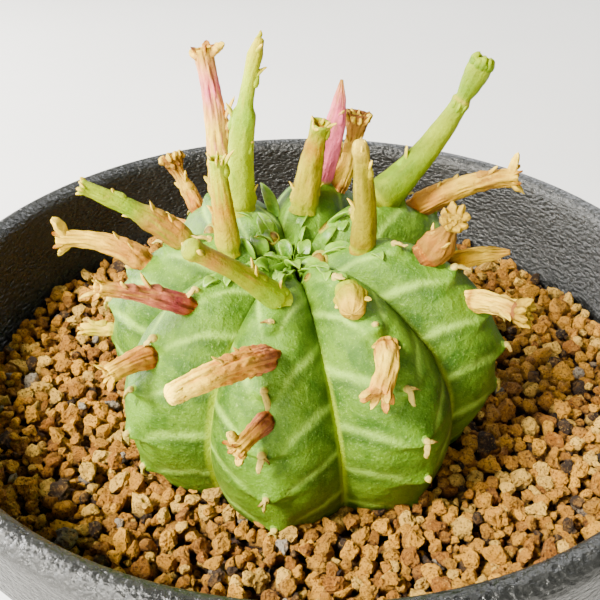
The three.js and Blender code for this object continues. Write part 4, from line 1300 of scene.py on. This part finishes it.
def make_soil_core(shader):
    """The solid bed under the loose granules, with the hollow that the plant sits in."""
    columns = 160
    azimuth = np.arange(columns) * 2 * np.pi / columns
    out = np.stack([np.sin(azimuth), -np.cos(azimuth)], -1)
    axis = GLOBE_CENTRE[:2]
    rings = []

    def ring(centre, radius, z):
        flat = np.asarray(centre) + out * np.broadcast_to(radius, (columns,))[:, None]
        rings.append(np.column_stack([flat, np.broadcast_to(z, (columns,))]))

    pocket = net_high[2] + 0.3
    ring((0, 0), 0.0, pocket)
    ring((0, 0), net_high[0] + 0.3, pocket)
    ring((0, 0), net_high[0] + 0.3, SOIL_BOTTOM)
    ring((0, 0), soil_wall(SOIL_BOTTOM) - 3, SOIL_BOTTOM)
    for z in np.linspace(SOIL_BOTTOM + 4, SOIL_TOP - 2.2, 9):
        ring((0, 0), soil_wall(z), z)
    surface = SOIL_TOP - 1.7
    wall_radius = soil_wall(surface) - 0.4
    gap = 0.4
    outline = plant_outline(azimuth, surface) + gap
    wall_spot = out * wall_radius
    plant_spot = axis + out * outline[:, None]
    for share in np.linspace(0, 1, 28):
        flat = wall_spot * (1 - share) + plant_spot * share
        z = surface + 0.5 * wobble(np.column_stack([flat, np.zeros(columns)]), 5.0, 8)
        rings.append(np.column_stack([flat, z]))
    for z in np.linspace(surface - 2, GLOBE_CENTRE[2] - GLOBE_DROP * 0.9, 6):
        ring(axis, plant_outline(azimuth, z) + gap, z)
    bottom = GLOBE_CENTRE[2] - GLOBE_DROP
    ring(axis, ROOT_RADIUS + 1, bottom - 4)
    ring(axis, ROOT_RADIUS * 0.5 + 1, bottom - ROOT_LENGTH * 0.7)
    ring(axis, 0.0, bottom - ROOT_LENGTH - 1)
    points = np.vstack(rings)
    core = add_mesh("soil_core", points, grid_faces(len(rings), columns))
    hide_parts("soil_bed")
    return dress(core, shader)


def crumb_shapes(count, level):
    """Angular crumbs of radius about 1, as points and triangles."""
    source = np.random.default_rng(55 + level)
    shapes = []
    for _ in range(count):
        ball = bmesh.new()
        bmesh.ops.create_icosphere(ball, subdivisions=level, radius=1.0)
        ball.verts.ensure_lookup_table()
        points = np.array([v.co for v in ball.verts])
        faces = np.array([[v.index for v in f.verts] for f in ball.faces])
        ball.free()
        for _ in range(11):
            way = unit(source.normal(size=3))
            cut = source.uniform(0.42, 0.85)
            beyond = np.clip(points @ way - cut, 0, None)
            points = points - way * beyond[:, None] * 0.92
        bump = 0.13 * wobble(points, 0.9, int(source.integers(1e6)))
        bump += 0.06 * source.normal(size=len(points))
        points = points * (1 + bump)[:, None]
        shapes.append((points * source.uniform(0.8, 1.3, 3), faces))
    return shapes


def spin(source):
    """A random rotation matrix."""
    q = unit(source.normal(size=4))
    w, x, y, z = q
    return np.array([
        [1 - 2 * (y * y + z * z), 2 * (x * y - z * w), 2 * (x * z + y * w)],
        [2 * (x * y + z * w), 1 - 2 * (x * x + z * z), 2 * (y * z - x * w)],
        [2 * (x * z - y * w), 2 * (y * z + x * w), 1 - 2 * (x * x + y * y)],
    ])


def granule_colour(source):
    """A few dark, grey or pale granules among the orange and brown ones."""
    pick = source.uniform()
    if pick < 0.06:
        return np.array([0.03, 0.017, 0.009]) * source.uniform(0.6, 1.6)
    if pick < 0.085:
        return np.array([0.42, 0.36, 0.27]) * source.uniform(0.7, 1.1)
    if pick < 0.24:
        return np.array([0.88, 0.52, 0.08]) * source.uniform(0.8, 1.1)
    warm = source.uniform()
    colour = np.array([0.32, 0.11, 0.008]) * (1 - warm) + np.array([0.8, 0.38, 0.02]) * warm
    return colour * source.uniform(0.7, 1.2)


def make_granules(shader):
    """Drops granules one by one on to the bed, each into the lowest of a few places."""
    source = np.random.default_rng(77)
    cell = 0.3
    half = int(SOIL_RADIUS / cell) + 4
    axis = (np.arange(2 * half + 1) - half) * cell
    grid_x, grid_y = np.meshgrid(axis, axis, indexing="ij")
    height = np.full(grid_x.shape, SOIL_TOP - 2.1)
    wall = soil_wall(SOIL_TOP) - 0.1
    height[np.hypot(grid_x, grid_y) > wall] = BLOCKED

    # The plant stands in the way
    azimuth = np.arctan2(grid_x - GLOBE_CENTRE[0], -(grid_y - GLOBE_CENTRE[1]))
    table = np.radians(np.arange(-180, 181, 3.0))
    outline = np.interp(azimuth, table, plant_outline(table, SOIL_TOP - 0.5))
    from_axis = np.hypot(grid_x - GLOBE_CENTRE[0], grid_y - GLOBE_CENTRE[1])
    height[from_axis < outline - 0.2] = BLOCKED

    shapes = {2: crumb_shapes(40, 2), 3: crumb_shapes(30, 3)}
    sectors = [Patchwork() for _ in range(SECTORS)]
    for _ in range(GRANULES):
        radius = float(np.clip(source.lognormal(math.log(GRANULE_RADIUS), 0.3), *GRANULE_LIMITS))
        best = None
        for _ in range(7):
            reach = wall * math.sqrt(source.uniform(0, 1))
            heading = source.uniform(-math.pi, math.pi)
            x = reach * math.sin(heading)
            y = -reach * math.cos(heading)
            i = int(round(x / cell)) + half
            j = int(round(y / cell)) + half
            n = int(radius * 0.75 / cell)
            under = height[i - n : i + n + 1, j - n : j + n + 1]
            top = under.max()
            if top >= BLOCKED:
                continue
            if best is None or top < best[0]:
                best = (top, x, y, i, j)
        if best is None:
            continue
        top, x, y, i, j = best
        mean = height[i - 1 : i + 2, j - 1 : j + 2].mean()
        z = 0.45 * top + 0.55 * mean + radius * 0.62
        if z > SOIL_TOP + 1.6:
            continue
        n = int(radius / cell) + 1
        patch = (slice(i - n, i + n + 1), slice(j - n, j + n + 1))
        rise = radius**2 - (grid_x[patch] - x) ** 2 - (grid_y[patch] - y) ** 2
        ball = np.where(rise > 0, z + 0.8 * np.sqrt(np.clip(rise, 0, None)), -BLOCKED)
        height[patch] = np.maximum(height[patch], ball)
        level = 3 if radius > 0.95 and y < 25 else 2
        points, faces = shapes[level][source.integers(len(shapes[level]))]
        placed = points @ spin(source).T * radius * 1.08 + np.array([x, y, z])
        heading = math.atan2(x, -y)
        sector = int((heading + math.pi) / (2 * math.pi) * SECTORS) % SECTORS
        # Painted shade: the underside of each granule and granules lower in the pile get low depth values,
        # which the material darkens.
        depth = np.clip((placed[:, 2] - z) / radius * 0.55 + 0.5 + (z - SOIL_TOP) * 0.3, 0, 1)
        sectors[sector].add(placed, faces, granule_colour=granule_colour(source), depth=depth)
    for i, parts in enumerate(sectors):
        dress(parts.build(f"clay_granules_{i + 1}", smooth=False), shader)


# ---- Build --------------------------------------------------------------------------------

make_stage()
stalk_shader = stalk_material()
leaf_shader = leaf_material()
make_pot(pot_material())
make_globe(skin_material())
for number, looks in enumerate(STALKS):
    Stalk(number, looks).build(stalk_shader)
make_leaves(leaf_shader)
make_scars(stalk_shader)
make_leaf_remains(stalk_shader)
make_soil_core(soil_core_material())
make_granules(granule_material())

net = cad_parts["drain_net"]
net.data.materials.clear()
net.data.materials.append(net_material().material)
